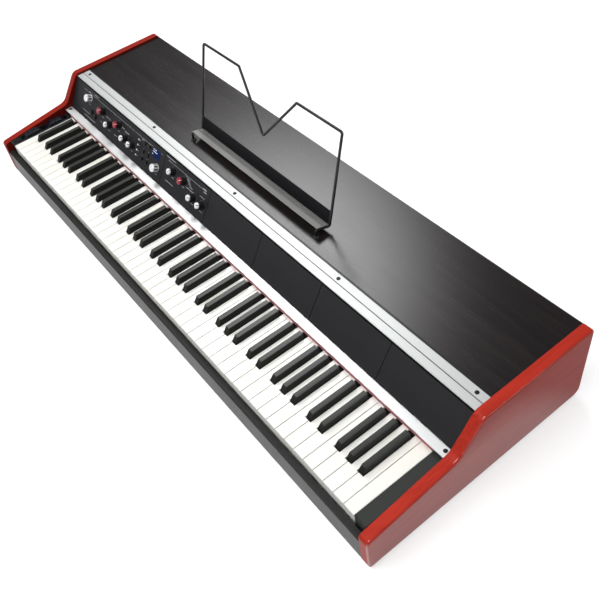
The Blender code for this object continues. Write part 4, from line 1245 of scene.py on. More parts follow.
@dataclass
class Keyboard:
    """All 88 keys, the felt over them and the bars of the four banks."""

    model: Model
    count: int = 52
    split: float = 0.001
    single_octave: int = 4
    letters: str = "cdefgab"
    first_letter: int = 5
    shifts: dict = field(
        default_factory=lambda: {"c": -0.00235, "d": 0.00235, "f": -0.00336, "g": 0.0, "a": 0.00336})
    lip: float = 0.022
    lip_thick: float = 0.0045
    body_deep: float = 0.013
    white_edge: float = 0.0008
    slot_start: float = 0.0485
    slot_half: float = 0.0070
    top_end: float = 0.0070
    black_start: float = 0.050
    black_end: float = 0.143
    black_half: float = 0.0062
    black_top_half: float = 0.0048
    black_rise: float = 0.0118
    black_chamfer: float = 0.0065
    black_edge: float = 0.0006
    near: float = 0.001
    hug: float = 0.0033
    seat: float = 0.0075
    arm_front: float = -0.0072
    arm_drop: float = 0.0006
    arm_dip: float = 0.0076
    arm_slope: float = 0.003
    tail_slope: float = 0.0055
    lug_rear: float = 0.020
    lug_deep: float = 0.008
    lug_drops: dict = field(default_factory=lambda: {Tone.WHITE: 0.0125, Tone.BLACK: 0.002})
    bar_behind: float = 0.016
    bar_half: float = 0.002
    bar_inset: float = 0.006
    felt_setback: float = 0.0003
    felt_edge: float = 0.0009

    def __post_init__(self) -> None:
        """Read the keyboard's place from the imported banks."""
        low, high = self.model.low("white_keys_low"), self.model.high("white_keys_high")
        self.left = low.x - self.split / 2
        self.pitch = (high.x - low.x + self.split) / self.count
        self.front = low.y
        self.top = high.z
        self.pivot = self.model.pivot("white_keys_low")
        self.finishes = {Tone.WHITE: Finishes.ivory, Tone.BLACK: Finishes.ebony}

    def keys(self) -> list[Key]:
        """Every key from the bass up.

        Returns:
            The keys in order.
        """
        made = []
        for index in range(self.count):
            octave, place = divmod(index + self.first_letter, len(self.letters))
            letter = self.letters[place]
            middle = self.left + (index + 0.5) * self.pitch
            made.append(Key(Tone.WHITE, letter, octave, middle))
            if letter in self.shifts and index < self.count - 1:
                made.append(Key(Tone.BLACK, letter, octave, middle + self.pitch / 2 + self.shifts[letter]))
        return made

    def build(self) -> None:
        """Make every key, the bank bars and the felt."""
        keys = self.keys()
        blacks = [key.middle for key in keys if key.tone is Tone.BLACK]
        for key in keys:
            single = key.octave == self.single_octave
            side = "low" if key.octave < self.single_octave else "high"
            body = f"key_{key.name}" if single else f"{key.tone.value}_keys_{side}"
            shape = self._white(key, blacks) if key.tone is Tone.WHITE else self._black(key)
            shape.piece(f"{key.tone.value}_{key.name}", self.finishes[key.tone], body,
                        (body,) if single else (), 30.0)
        for tone in Tone:
            for side in ("low", "high"):
                self._bar(tone, side)
        self._felt()

    def _white(self, key: Key, blacks: Sequence[float]) -> Shape:
        """A white key, cut away beside its black neighbours.

        Args:
            key: the key.
            blacks: the middles of all the black keys.

        Returns:
            The closed key with its arm.
        """
        half, reach = (self.pitch - self.split) / 2, self.slot_half
        left, right = key.middle - half, key.middle + half
        inner_left = max([left] + [x + reach for x in blacks if abs(x - left) < reach])
        inner_right = min([right] + [x - reach for x in blacks if abs(x - right) < reach])
        slot, rear = self.front + self.slot_start, self.pivot.y - self.top_end
        outline = [(left, self.front), (right, self.front)]
        outline += [(right, slot), (inner_right, slot)] if inner_right < right else []
        outline += [(inner_right, rear), (inner_left, rear)]
        outline += [(inner_left, slot), (left, slot)] if inner_left > left else []
        solid = Shape.sheet([(x, y, self.top) for x, y in outline], (0.0, 0.0, -self.body_deep))
        cut = self.front + self.lip_thick
        geometry = solid.mesh.verts[:] + solid.mesh.edges[:] + solid.mesh.faces[:]
        bmesh.ops.bisect_plane(solid.mesh, geom=geometry, plane_co=(0, cut, 0), plane_no=(0, 1, 0))
        solid.mesh.normal_update()
        under = [face for face in solid.mesh.faces
                 if face.normal.z < -0.9 and face.calc_center_median().y < cut]
        solid.draw_out(under, (0.0, 0.0, self.body_deep - self.lip))
        low, end = self.top - self.body_deep * 0.6, rear - self.near
        solid.outward()
        solid.soften(self.white_edge, 3, 40.0, lambda middle: middle.z > low and middle.y < end)
        return solid.joined(self._arm(inner_left, inner_right, Tone.WHITE))

    def _black(self, key: Key) -> Shape:
        """A black key: a tapered cap with a chamfered nose on a straight stem.

        Args:
            key: the key.

        Returns:
            The closed key with its arm.
        """
        left, right = key.middle - self.black_half, key.middle + self.black_half
        start, end = self.front + self.black_start, self.front + self.black_end
        cap = Shape.block((left, start, self.top - self.body_deep), (right, end, self.top))
        cap.mesh.normal_update()
        top = [face for face in cap.mesh.faces if face.normal.z > 0.9]
        raised = of_kind(cap.draw_out(top, (0.0, 0.0, self.black_rise)), bmesh.types.BMVert)
        taper = (self.black_top_half / self.black_half, 1.0, 1.0)
        middle = Matrix.Translation((-key.middle, 0.0, 0.0))
        bmesh.ops.scale(cap.mesh, vec=taper, space=middle, verts=raised)
        nose = [vert for vert in raised if vert.co.y < start + self.near]
        bmesh.ops.translate(cap.mesh, vec=(0.0, self.black_chamfer, 0.0), verts=nose)
        cap.outward().soften(self.black_edge, 2, 15.0, lambda place: place.z > self.top - self.near)
        return cap.joined(self._arm(left, right, Tone.BLACK))

    def _arm(self, left: float, right: float, tone: Tone) -> Shape:
        """The rear of a key, with the seat that hugs the rod and the lug behind it.

        Args:
            left: where the arm starts on X.
            right: where it ends.
            tone: the key's colour.

        Returns:
            The closed arm.
        """
        seat, (y, z) = self.seat, self.pivot.yz
        top = self.top - z
        under, over, lug = top - self.body_deep, top - self.arm_drop, top - self.lug_drops[tone]
        if tone is Tone.WHITE:
            front = self.arm_front
            head = [(front, over), (seat, top - self.arm_dip), (seat, lug)]
            tail = [(front, 0.0), (front, under)]
        else:
            front = self.front + self.black_end - y - self.near
            head = [(front, under), (front, over), (front + self.arm_slope, lug)]
            tail = [(-seat, 0.0), (-seat - self.tail_slope, under)]
        rear, foot = self.lug_rear, lug - self.lug_deep
        turns = [math.pi * step / 8 for step in range(9)]
        arc = [(self.hug * math.cos(turn), self.hug * math.sin(turn)) for turn in turns]
        outline = head + [(rear, lug), (rear, foot), (seat, foot), (seat, 0.0)] + arc + tail
        return Shape.profile([(y + a, z + b) for a, b in outline], left, right)

    def _bar(self, tone: Tone, side: str) -> None:
        """The bar that joins one bank behind the rod.

        Args:
            tone: the colour of the bank's keys.
            side: "low" or "high".
        """
        node = f"{tone.value}_keys_{side}"
        low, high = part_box(node)
        y, half = self.pivot.y + self.bar_behind, self.bar_half
        z = self.top - self.lug_drops[tone] - self.lug_deep / 2
        bar = Shape.block((low.x + self.bar_inset, y - half, z - half),
                          (high.x - self.bar_inset, y + half, z + half))
        bar.piece(f"{node}_bar", self.finishes[tone], node, (node,))

    def _felt(self) -> None:
        """The red strip over the rear ends of the keys, nearly flush with the trim's front edge."""
        low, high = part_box("key_felt")
        low.y = self.model.low("lower_trim").y + self.felt_setback
        strip = Shape.block(low, high).soften(self.felt_edge, 3)
        strip.piece("key_felt_strip", Finishes.felt, replaces=("key_felt",))


@dataclass
class EndBlocks:
    """The key blocks at both ends, and the two wheels in the left one."""

    model: Model
    edge: float = 0.0012
    ribs: int = 54
    rib_depth: float = 0.0005
    dent: float = 0.0024
    dent_spread: float = 0.17
    wheel_edge: float = 0.0011
    near: float = 0.0001

    def build(self) -> None:
        """Make the blocks and wheels."""
        self.model.softened("left_key_block", Finishes.glossy_block, self.edge, 3)
        self.model.softened("right_key_block", Finishes.block, self.edge, 3)
        for node in ("modulation_wheel", "pitch_wheel"):
            self._wheel(node)

    def _wheel(self, node: str) -> None:
        """A ribbed wheel with a dent for the fingertip.

        Args:
            node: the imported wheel.
        """
        low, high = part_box(node)
        radius, half = (high.y - low.y) / 2, (high.x - low.x) / 2
        wheel = Shape.fluted(radius, self.rib_depth, self.ribs, -half, half).turned_by(90.0, "Y")
        for vert in wheel.mesh.verts:
            away = math.atan2(vert.co.y, vert.co.z)
            dent = math.exp(-(away / self.dent_spread) ** 2) * self.dent
            vert.co.yz *= 1.0 - dent / radius
        wheel.soften(self.wheel_edge, 2, 50.0, lambda middle: abs(middle.x) > half - self.near)
        wheel.moved(self.model.pivot(node)).piece(f"{node}_rim", Finishes.wheel, node, (node,), 50.0)


# Controls


class Cap(Enum):
    """What a knob's top is."""

    RED = "red"
    WHITE = "white"
    DIAL = "dial"


KNOBS = {
    "volume_dial": (Cap.DIAL, -35.0),
    "drive_knob": (Cap.RED, -50.0),
    "bass_knob": (Cap.WHITE, -57.0),
    "tremolo_knob": (Cap.RED, -60.0),
    "rate_knob": (Cap.WHITE, -50.0),
    "treble_knob": (Cap.WHITE, -62.0),
    "data_encoder": (Cap.DIAL, 0.0),
    "effect_select_knob": (Cap.WHITE, -48.0),
    "effect_depth_knob": (Cap.RED, -55.0),
    "effect_rate_knob": (Cap.WHITE, -65.0),
    "effect_level_knob": (Cap.WHITE, -55.0),
}


@dataclass
class Knob:
    """One knob: a fluted body, a cap and a pointer.

    skirt and crown are (radius, height) outlines, and shaft, foot and core are discs, in
    (radius, lower height, upper height), all over the panel. dome is the cap's profile, in
    (share of its radius, depth below its crown).
    """

    cap: Cap
    turn: float
    shaft: Point = (0.003, -0.010, 0.0016)
    radius: float = 0.0081
    flute: float = 0.00045
    body_low: float = 0.0018
    body_top: float = 0.0123
    body_edge: float = 0.0005
    near: float = 0.0001
    skirt: tuple = ((0.0, 0.0006), (0.0082, 0.0006), (0.0082, 0.0016), (0.0075, 0.0020), (0.0, 0.0020))
    white_radius: float = 0.0063
    red_radius: float = 0.0075
    cap_low: float = 0.0117
    height: float = 0.0164
    dome: tuple = ((1.0, 0.0018), (0.95, 0.0009), (0.80, 0.0003), (0.5, 0.0), (0.0, -0.0001))
    line_half: float = 0.0006
    line_start: float = 0.0008
    line_reach: float = 0.00008
    line_rise: float = 0.00022
    line_edge: float = 0.0001
    dial_radius: float = 0.0086
    dial_flute: float = 0.0016
    dial_edge: float = 0.0003
    shell_top: float = 0.0114
    crown: tuple = ((0.0, 0.0110), (0.0086, 0.0110), (0.0086, 0.0130), (0.0082, 0.0136),
                    (0.0074, 0.0140), (0.00516, 0.0137), (0.0, 0.0135))
    foot: Point = (0.0086, 0.0006, 0.0022)
    core: Point = (0.0077, 0.0018, 0.0109)
    mark: tuple = ((-0.0005, 0.003, 0.0132), (0.0005, 0.0073, 0.01405))

    def build(self, node: str, place: Matrix) -> None:
        """Make the knob's pieces on a body that has the node's name."""
        make = self._dial if self.cap is Cap.DIAL else self._capped
        make(node, place)

    @staticmethod
    def _disc(radius: float, low: float, high: float, steps: int) -> Shape:
        """A plain disc about Z."""
        return Shape.turned([(0.0, low), (radius, low), (radius, high), (0.0, high)], steps)

    def _shaft(self) -> Shape:
        """The shaft under the knob."""
        return self._disc(*self.shaft, 20)

    def _pointer(self, node: str, place: Matrix, line: Shape, finish: Finish) -> None:
        """Turn a pointer line with the knob."""
        line.turned_by(self.turn, "Z").placed(place).piece(f"{node}_pointer", finish, node)

    def _capped(self, node: str, place: Matrix) -> None:
        """A black fluted body with a domed coloured cap.

        Args:
            node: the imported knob.
            place: where it stands.
        """
        body = Shape.fluted(self.radius, self.flute, 18, self.body_low, self.body_top)
        body.soften(self.body_edge, 2, 60.0, lambda middle: middle.z > self.body_top - self.near)
        skirt = Shape.turned(self.skirt, 36)
        body.joined(skirt, self._shaft()).turned_by(self.turn, "Z").placed(place)
        body.piece(f"{node}_body", Finishes.knob_body, node, (node,))
        red, low, top = self.cap is Cap.RED, self.cap_low, self.height
        wide = self.red_radius if red else self.white_radius
        dome = [(0.0, low), (wide, low)] + [(wide * share, top - drop) for share, drop in self.dome]
        finish = Finishes.red_cap if red else Finishes.white_cap
        Shape.turned(dome, 36).placed(place).piece(f"{node}_cap", finish, node)
        line = Shape.block((-self.line_half, self.line_start, self.body_top),
                           (self.line_half, wide + self.line_reach, top + self.line_rise))
        line.soften(self.line_edge, 1)
        self._pointer(node, place, line, Finishes.ink if red else Finishes.dark_ink)

    def _dial(self, node: str, place: Matrix) -> None:
        """A bright dial with deep dark slots in its side.

        Args:
            node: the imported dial.
            place: where it stands.
        """
        shell = Shape.fluted(self.dial_radius, self.dial_flute, 7, self.body_low, self.shell_top)
        shell.soften(self.dial_edge, 2, 50.0)
        shell.joined(Shape.turned(self.crown, 48), self._disc(*self.foot, 48), self._shaft())
        shell.turned_by(self.turn, "Z").placed(place)
        shell.piece(f"{node}_shell", Finishes.dial, node, (node,))
        core = self._disc(*self.core, 48)
        core.placed(place).piece(f"{node}_core", Finishes.knob_body, node)
        if node == "volume_dial":
            self._pointer(node, place, Shape.block(*self.mark), Finishes.dark_ink)


LEGENDS = (
    (-0.5667, 0.0630, 0.008, 0.0016), (-0.5400, 0.0662, 0.019, 0.0012), (-0.5826, 0.0166, 0.038, 0.0010),
    (-0.5684, 0.0080, 0.054, 0.0013), (-0.4717, 0.0424, 0.020, 0.0010), (-0.3987, 0.0478, 0.012, 0.0012),
    (-0.3838, 0.0448, 0.020, 0.0016), (-0.4240, 0.0196, 0.015, 0.0012), (-0.4926, 0.0222, 0.007, 0.0012),
    (-0.3115, 0.0590, 0.011, 0.0012), (-0.2109, 0.0672, 0.037, 0.0013), (-0.1959, 0.0198, 0.031, 0.0010),
    (-0.1310, 0.0585, 0.016, 0.0011), (-0.1265, 0.0552, 0.013, 0.0011), (-0.1220, 0.0519, 0.015, 0.0011),
    (-0.1175, 0.0486, 0.011, 0.0011), (-0.1130, 0.0453, 0.013, 0.0011), (-0.1222, 0.0400, 0.028, 0.0013),
    (-0.0697, 0.0632, 0.013, 0.0018), (-0.0654, 0.0578, 0.011, 0.0018), (-0.0731, 0.0458, 0.017, 0.0012),
)


@dataclass
class Controls:
    """The sloping panel's plates, knobs, buttons, display, lamps and printed marks.

    figures holds (text, height, x, y) on the display, and figure_bars (left, bottom, right,
    top). legends holds (x, height up the slope, length, thickness) of each row of dashes,
    underline (half its length, bottom, top) of the bar under a knob, lamp_mark (start, end,
    half its thickness) of the bar beside a lamp, and rule_insets (plate, inset at its bass
    end, inset at its treble end) of the thin rules.
    """

    model: Model
    plates: tuple = ("control_panel", "effects_module", "blank_module_1", "blank_module_2",
                     "blank_module_3", "blank_module_4")
    plate_edge: float = 0.0007
    plate_near: float = 0.0002
    menu_size: Point = (0.0090, 0.0060, 0.0030)
    side_size: Point = (0.0110, 0.0090, 0.0040)
    button_deep: float = 0.0060
    button_edge: float = 0.0007
    dish_near: float = 0.00001
    dish_inset: float = 0.0008
    dish_deep: float = 0.00025
    display_half: float = 0.011
    display_rim: float = 0.0015
    housing_heights: Flat = (-0.003, 0.0001)
    housing_edge: float = 0.0002
    ground_rise: float = 0.00018
    figure_bar_heights: Flat = (0.0002, 0.0003)
    figures: tuple = (("12", 0.0046, -0.0115, 0.0062), ("345", 0.0034, -0.0035, 0.0066))
    figure_bars: tuple = ((-0.0140, 0.0016, 0.0040, 0.0024), (-0.0140, -0.0046, -0.0118, -0.0030))
    figure_rise: float = 0.00026
    lamp_x: float = -0.323
    lamp_rows: tuple = (0.0532, 0.0411, 0.0298, 0.0184)
    lamp_outline: tuple = ((0.0, -0.001), (0.0019, -0.001), (0.0019, 0.0003), (0.00133, 0.0008),
                           (0.0, 0.0010))
    speck_outline: tuple = ((0.0, -0.001), (0.0013, -0.001), (0.0013, 0.0003), (0.0, 0.0006))
    specks: tuple = ((-0.4640, 0.0345), (-0.4150, 0.0246), (-0.1958, 0.0181), (-0.3594, 0.0628),
                     (-0.3428, 0.0618))
    legends: tuple = LEGENDS
    rule_drop: float = 0.0097
    ring_steps: int = 11
    ring_reach: float = 0.0101
    dial_ring_reach: float = 0.0113
    ring_sweep: float = 280.0
    tick_half: float = 0.0002
    tick_lengths: Flat = (0.0011, 0.0018)
    underline: tuple = (0.0045, -0.0142, -0.0132)
    lamp_mark: tuple = (0.0035, 0.0080, 0.0004)
    rule_thick: float = 0.0005
    rule_insets: tuple = (("control_panel", 0.045, 0.010), ("effects_module", 0.012, 0.012))
    dash_step: float = 0.0034
    dash_lengths: Flat = (0.0020, 0.0026)
    number_height: float = 0.0034
    number_above: float = 0.0062
    ink_rise: float = 0.00006
    ink_thick: float = 0.00005

    def __post_init__(self) -> None:
        """Find the slope."""
        self.slope = Slope.of(self.model, "blank_module_2", "volume_dial")
        self.buttons = {f"menu_button_{index}": self.menu_size for index in range(1, 7)}
        self.buttons.update({f"side_button_{index}": self.side_size for index in (1, 2)})
        self.marks = Shape()

    def build(self) -> None:
        """Make everything on the slope."""
        for node in self.plates:
            self._plate(node)
        for node, (cap, turn) in KNOBS.items():
            Knob(cap, turn).build(node, self.slope.at_point(self.model.pivot(node)))
        for node, size in self.buttons.items():
            self._button(node, size)
        self._display()
        self._lamps()
        self._print_ticks()
        self._print_rules()
        self.marks.placed(self.slope.at(0.0, 0.0)).piece("panel_marks", Finishes.ink, smooth=20.0)

    def _plate(self, node: str) -> None:
        """One plate of the slope, its two ends rounded so that the seams show.

        Args:
            node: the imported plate.
        """
        low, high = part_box(node)

        def at_an_end(middle: Vector) -> bool:
            """Whether an edge lies at an end of the plate."""
            return min(abs(middle.x - low.x), abs(middle.x - high.x)) < self.plate_near

        self.model.softened(node, Finishes.charcoal, self.plate_edge, 2, where=at_an_end)

    def _button(self, node: str, size: Point) -> None:
        """A soft-edged push button with a dished top.

        Args:
            node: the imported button.
            size: its width, its depth and its rise.
        """
        x, up = self.slope.flat(self.model.pivot(node))
        half_x, half_y, rise = size[0] / 2, size[1] / 2, size[2]
        body = Shape.block((-half_x, -half_y, -self.button_deep), (half_x, half_y, rise))
        body.soften(self.button_edge, 3)
        limit = rise - self.dish_near
        top = [face for face in body.mesh.faces if face.calc_center_median().z > limit]
        bmesh.ops.inset_region(body.mesh, faces=top, thickness=self.dish_inset, depth=-self.dish_deep)
        body.placed(self.slope.at(x, up)).piece(f"{node}_key", Finishes.button, node, (node,))

    def _display(self) -> None:
        """The display: a lit ground with generic figures."""
        low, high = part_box("display_window")
        place = self.slope.at(*self.slope.flat((low + high) / 2))
        half_x, half_y = (high.x - low.x) / 2, self.display_half
        under, over = self.housing_heights
        frame = Shape.block((-half_x, -half_y, under), (half_x, half_y, over)).soften(self.housing_edge, 2)
        frame.placed(place).piece("display_housing", Finishes.knob_body, replaces=("display_window",))
        in_x, in_y = half_x - self.display_rim, half_y - self.display_rim
        ground = Shape.block((-in_x, -in_y, 0.0), (in_x, in_y, self.ground_rise))
        ground.placed(place).piece("display_ground", Finishes.screen)
        figures = Shape()
        for text, height, x, y in self.figures:
            figures.joined(Shape.lettering(text, height).moved((x, y, self.figure_rise)))
        under, over = self.figure_bar_heights
        for left, bottom, right, top in self.figure_bars:
            figures.joined(Shape.block((left, bottom, under), (right, top, over)))
        figures.placed(place).piece("display_figures", Finishes.figures)

    def _lamps(self) -> None:
        """The four pale lamps, and the small dark lenses."""
        for index, up in enumerate(self.lamp_rows):
            lens = Shape.turned(self.lamp_outline, 16)
            lens.placed(self.slope.at(self.lamp_x, up)).piece(f"lamp_{index + 1}", Finishes.lamp)
        for index, (x, up) in enumerate(self.specks):
            lens = Shape.turned(self.speck_outline, 12)
            lens.placed(self.slope.at(x, up)).piece(f"dark_lens_{index + 1}", Finishes.dark_lens)

    def _bar(self, low: Flat, high: Flat) -> None:
        """Print one plain bar on the slope."""
        self.marks.joined(Shape.block((*low, self.ink_rise), (*high, self.ink_rise + self.ink_thick)))

    def _print_ticks(self) -> None:
        """The rings of ticks round the knobs, and the bars under them."""
        for node, (cap, _) in KNOBS.items():
            x, up = self.slope.flat(self.model.pivot(node))
            if node != "data_encoder":
                self._ring(x, up, self.dial_ring_reach if cap is Cap.DIAL else self.ring_reach)
            half, bottom, top = self.underline
            self._bar((x - half, up + bottom), (x + half, up + top))

    def _ring(self, x: float, up: float, reach: float) -> None:
        """A ring of ticks, longer at its ends and middle.

        Args:
            x: the ring's middle along the slope.
            up: its middle up the slope.
            reach: its inner radius.
        """
        last = self.ring_steps - 1
        for step in range(self.ring_steps):
            turn = math.radians(self.ring_sweep * (step / last - 0.5))
            end = reach + self.tick_lengths[step in (0, last // 2, last)]
            tick = Shape.block((-self.tick_half, reach, 0.0), (self.tick_half, end, self.ink_thick))
            tick.placed(Matrix.Rotation(-turn, 4, "Z")).moved((x, up, self.ink_rise))
            self.marks.joined(tick)

    def _print_rules(self) -> None:
        """The button numbers, the rows of dashes, the marks beside the lamps and the thin rules."""
        for node in self.buttons:
            x, up = self.slope.flat(self.model.pivot(node))
            number = Shape.lettering(node[-1], self.number_height)
            self.marks.joined(number.moved((x, up + self.number_above, self.ink_rise)))
        for legend in self.legends:
            self._dash_row(*legend)
        start, end, half = self.lamp_mark
        for up in self.lamp_rows:
            self._bar((self.lamp_x + start, up - half), (self.lamp_x + end, up + half))
        rule = self.slope.length - self.rule_drop
        for node, before, after in self.rule_insets:
            low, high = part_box(node)
            self._bar((low.x + before, rule), (high.x - after, rule + self.rule_thick))

    def _dash_row(self, x: float, up: float, length: float, height: float) -> None:
        """A row of short plain dashes in the place of a printed legend.

        Args:
            x: where the row starts.
            up: its lower edge.
            length: of the row.
            height: of a dash.
        """
        for index in range(max(1, round(length / self.dash_step))):
            start = x + index * self.dash_step
            self._bar((start, up), (start + self.dash_lengths[index % 3 > 0], up + height))


# Music rest


@dataclass
class Wire:
    """A round wire, bent step by step from its first end."""

    radius: float
    sides: int = 14

    def bend(self, corners: Sequence[Vector], bend_radius: float, steps: int = 7) -> Shape:
        """Bend the wire round corners.

        Args:
            corners: the ends of the wire and the corners between them.
            bend_radius: of the wire's middle line at each corner.
            steps: parts of each bend.

        Returns:
            The closed wire.
        """
        made = Shape()
        ways = [(after - before).normalized() for before, after in zip(corners, corners[1:])]
        bmesh.ops.create_circle(made.mesh, cap_ends=True, segments=self.sides, radius=self.radius)
        turn = ways[0].to_track_quat("Z", "Y").to_matrix().to_4x4()
        made.placed(Matrix.Translation(corners[0]) @ turn)
        end = made.mesh.faces[:]
        place = corners[0].copy()
        for index, way in enumerate(ways):
            stop = corners[index + 1].copy()
            following = ways[index + 1] if index + 1 < len(ways) else None
            if following:
                angle = way.angle(following)
                axis = way.cross(following).normalized()
                stop -= way * bend_radius * math.tan(angle / 2)
            end = of_kind(made.draw_out(end, stop - place, index == 0), bmesh.types.BMFace)
            place = stop
            if following:
                centre = place + axis.cross(way).normalized() * bend_radius
                swept = bmesh.ops.spin(made.mesh, geom=end, cent=centre, axis=axis, angle=angle,
                                       steps=steps)
                left = [face for face in end if face.is_valid]
                bmesh.ops.delete(made.mesh, geom=left, context="FACES_ONLY")
                end = of_kind(swept["geom_last"], bmesh.types.BMFace)
                place = centre + Matrix.Rotation(angle, 3, axis) @ (place - centre)
        bmesh.ops.remove_doubles(made.mesh, verts=made.mesh.verts, dist=MERGE)
        return made.outward()


@dataclass
class MusicRest:
    """The bent wire rest with its sheet ledge and the bushes that it plugs into."""

    model: Model
    half: float = 0.2085
    lift: float = 0.0104
    lean: float = math.radians(15.33)
    height: float = 0.1795
    notch_half: float = 0.0873
    notch_height: float = 0.0791
    wire: float = 0.0025
    bend: float = 0.0045
    ledge_deep: float = 0.0266
    ledge_plate: float = 0.0297
    ledge_thick: float = 0.0016
    ledge_over: float = 0.0010
    ledge_edge: float = 0.0003
    ledge_behind: float = 0.0003
    foot_inset: float = 0.004
    foot_forward: float = 0.0017
    plug_deep: float = 0.008
    ribs: tuple = (0.0085, 0.0110, 0.0135)
    rib_wide: float = 0.0007
    rib_rise: float = 0.0005
    rib_sunk: float = 0.0002
    rib_inset: float = 0.004
    bush: float = 0.0039
    bush_clear: float = 0.0001
    bush_deep: float = 0.004
    bush_rim: float = 0.0056
    bush_slope: float = 0.0012
    bush_top: float = 0.0034
    bush_lift: float = 0.00005

    def __post_init__(self) -> None:
        """Find the rest's rear lower corner from its highest point."""
        self.board = self.model.high("top_panel").z
        self.base_z = self.board + self.lift
        top = self.model.high("music_rest").y - self.wire * 0.97
        self.base_y = top - self.height * math.sin(self.lean)

    def point(self, x: float, forward: float, up: float) -> Vector:
        """A point from the rear lower corner, forward along the ledge and up the wire.

        Args:
            x: along the case.
            forward: along the ledge, towards the player.
            up: along the wire.

        Returns:
            The point.
        """
        sine, cosine = math.sin(self.lean), math.cos(self.lean)
        y = self.base_y - forward * cosine + up * sine
        return Vector((x, y, self.base_z + forward * sine + up * cosine))

    def build(self) -> None:
        """Make the wire, ledge and bushes."""
        path = []
        forward = self.ledge_deep + self.foot_forward
        for side in (-1, 1):
            corner = self.point(side * (self.half - self.foot_inset), forward, 0.0)
            foot = Vector((corner.x, corner.y, self.board - self.plug_deep))
            half = [foot, corner, self.point(side * self.half, 0.0, 0.0),
                    self.point(side * self.half, 0.0, self.height),
                    self.point(side * self.notch_half, 0.0, self.height)]
            path += half if side < 0 else [self.point(0.0, 0.0, self.notch_height)] + half[::-1]
            self._bush(side, corner)
        Wire(self.wire).bend(path, self.bend).piece("rest_wire", Finishes.wire, replaces=("music_rest",))
        self._ledge()

    def _strip(self, rear: float, front: float, low: float, high: float, reach: float) -> Shape:
        """A flat strip of the rest, drawn out along X.

        Args:
            rear: where it starts, forward from the wire's plane.
            front: where it ends.
            low: its lower face, up the wire.
            high: its upper face.
            reach: half its width.

        Returns:
            The closed strip with soft edges.
        """
        corners = ((rear, low), (front, low), (front, high), (rear, high))
        outline = [tuple(self.point(0.0, forward, up))[1:] for forward, up in corners]
        return Shape.profile(outline, -reach, reach).soften(self.ledge_edge, 2)

    def _ledge(self) -> None:
        """The sheet shelf that lies over the wires, and the plate that stands between them."""
        half, over = self.ledge_thick / 2, self.ledge_over
        top = over + self.ledge_thick
        rear = -half - self.ledge_behind
        shelf = self._strip(rear, self.ledge_deep, over, top, self.half - self.wire)
        shelf.piece("rest_shelf", Finishes.ledge)
        ribs = Shape()
        for forward in self.ribs:
            ribs.joined(self._strip(forward, forward + self.rib_wide, top - self.rib_sunk,
                                    top + self.rib_rise, self.half - self.rib_inset))
        ribs.piece("rest_ribs", Finishes.wire)
        plate = self._strip(-half, half, over + half, self.ledge_plate, self.half - self.wire / 2)
        plate.piece("rest_plate", Finishes.plate)

    def _bush(self, side: int, corner: Vector) -> None:
        """The round bush in the top board that takes a wire's end.

        Args:
            side: -1 for the bass end, 1 for the treble end.
            corner: the wire's bend over the bush.
        """
        bore, rim, top, slope = self.wire + self.bush_clear, self.bush_rim, self.bush_top, self.bush_slope
        ring = Shape.ring([(bore, -self.bush_deep), (self.bush, -self.bush_deep), (self.bush, 0.0),
                           (rim, 0.0), (rim, top - slope), (rim - slope, top), (bore, top)])
        ring.moved((corner.x, corner.y, self.board + self.bush_lift))
        ring.piece(f"rest_bush_{'left' if side < 0 else 'right'}", Finishes.rubber)


# Back and inside


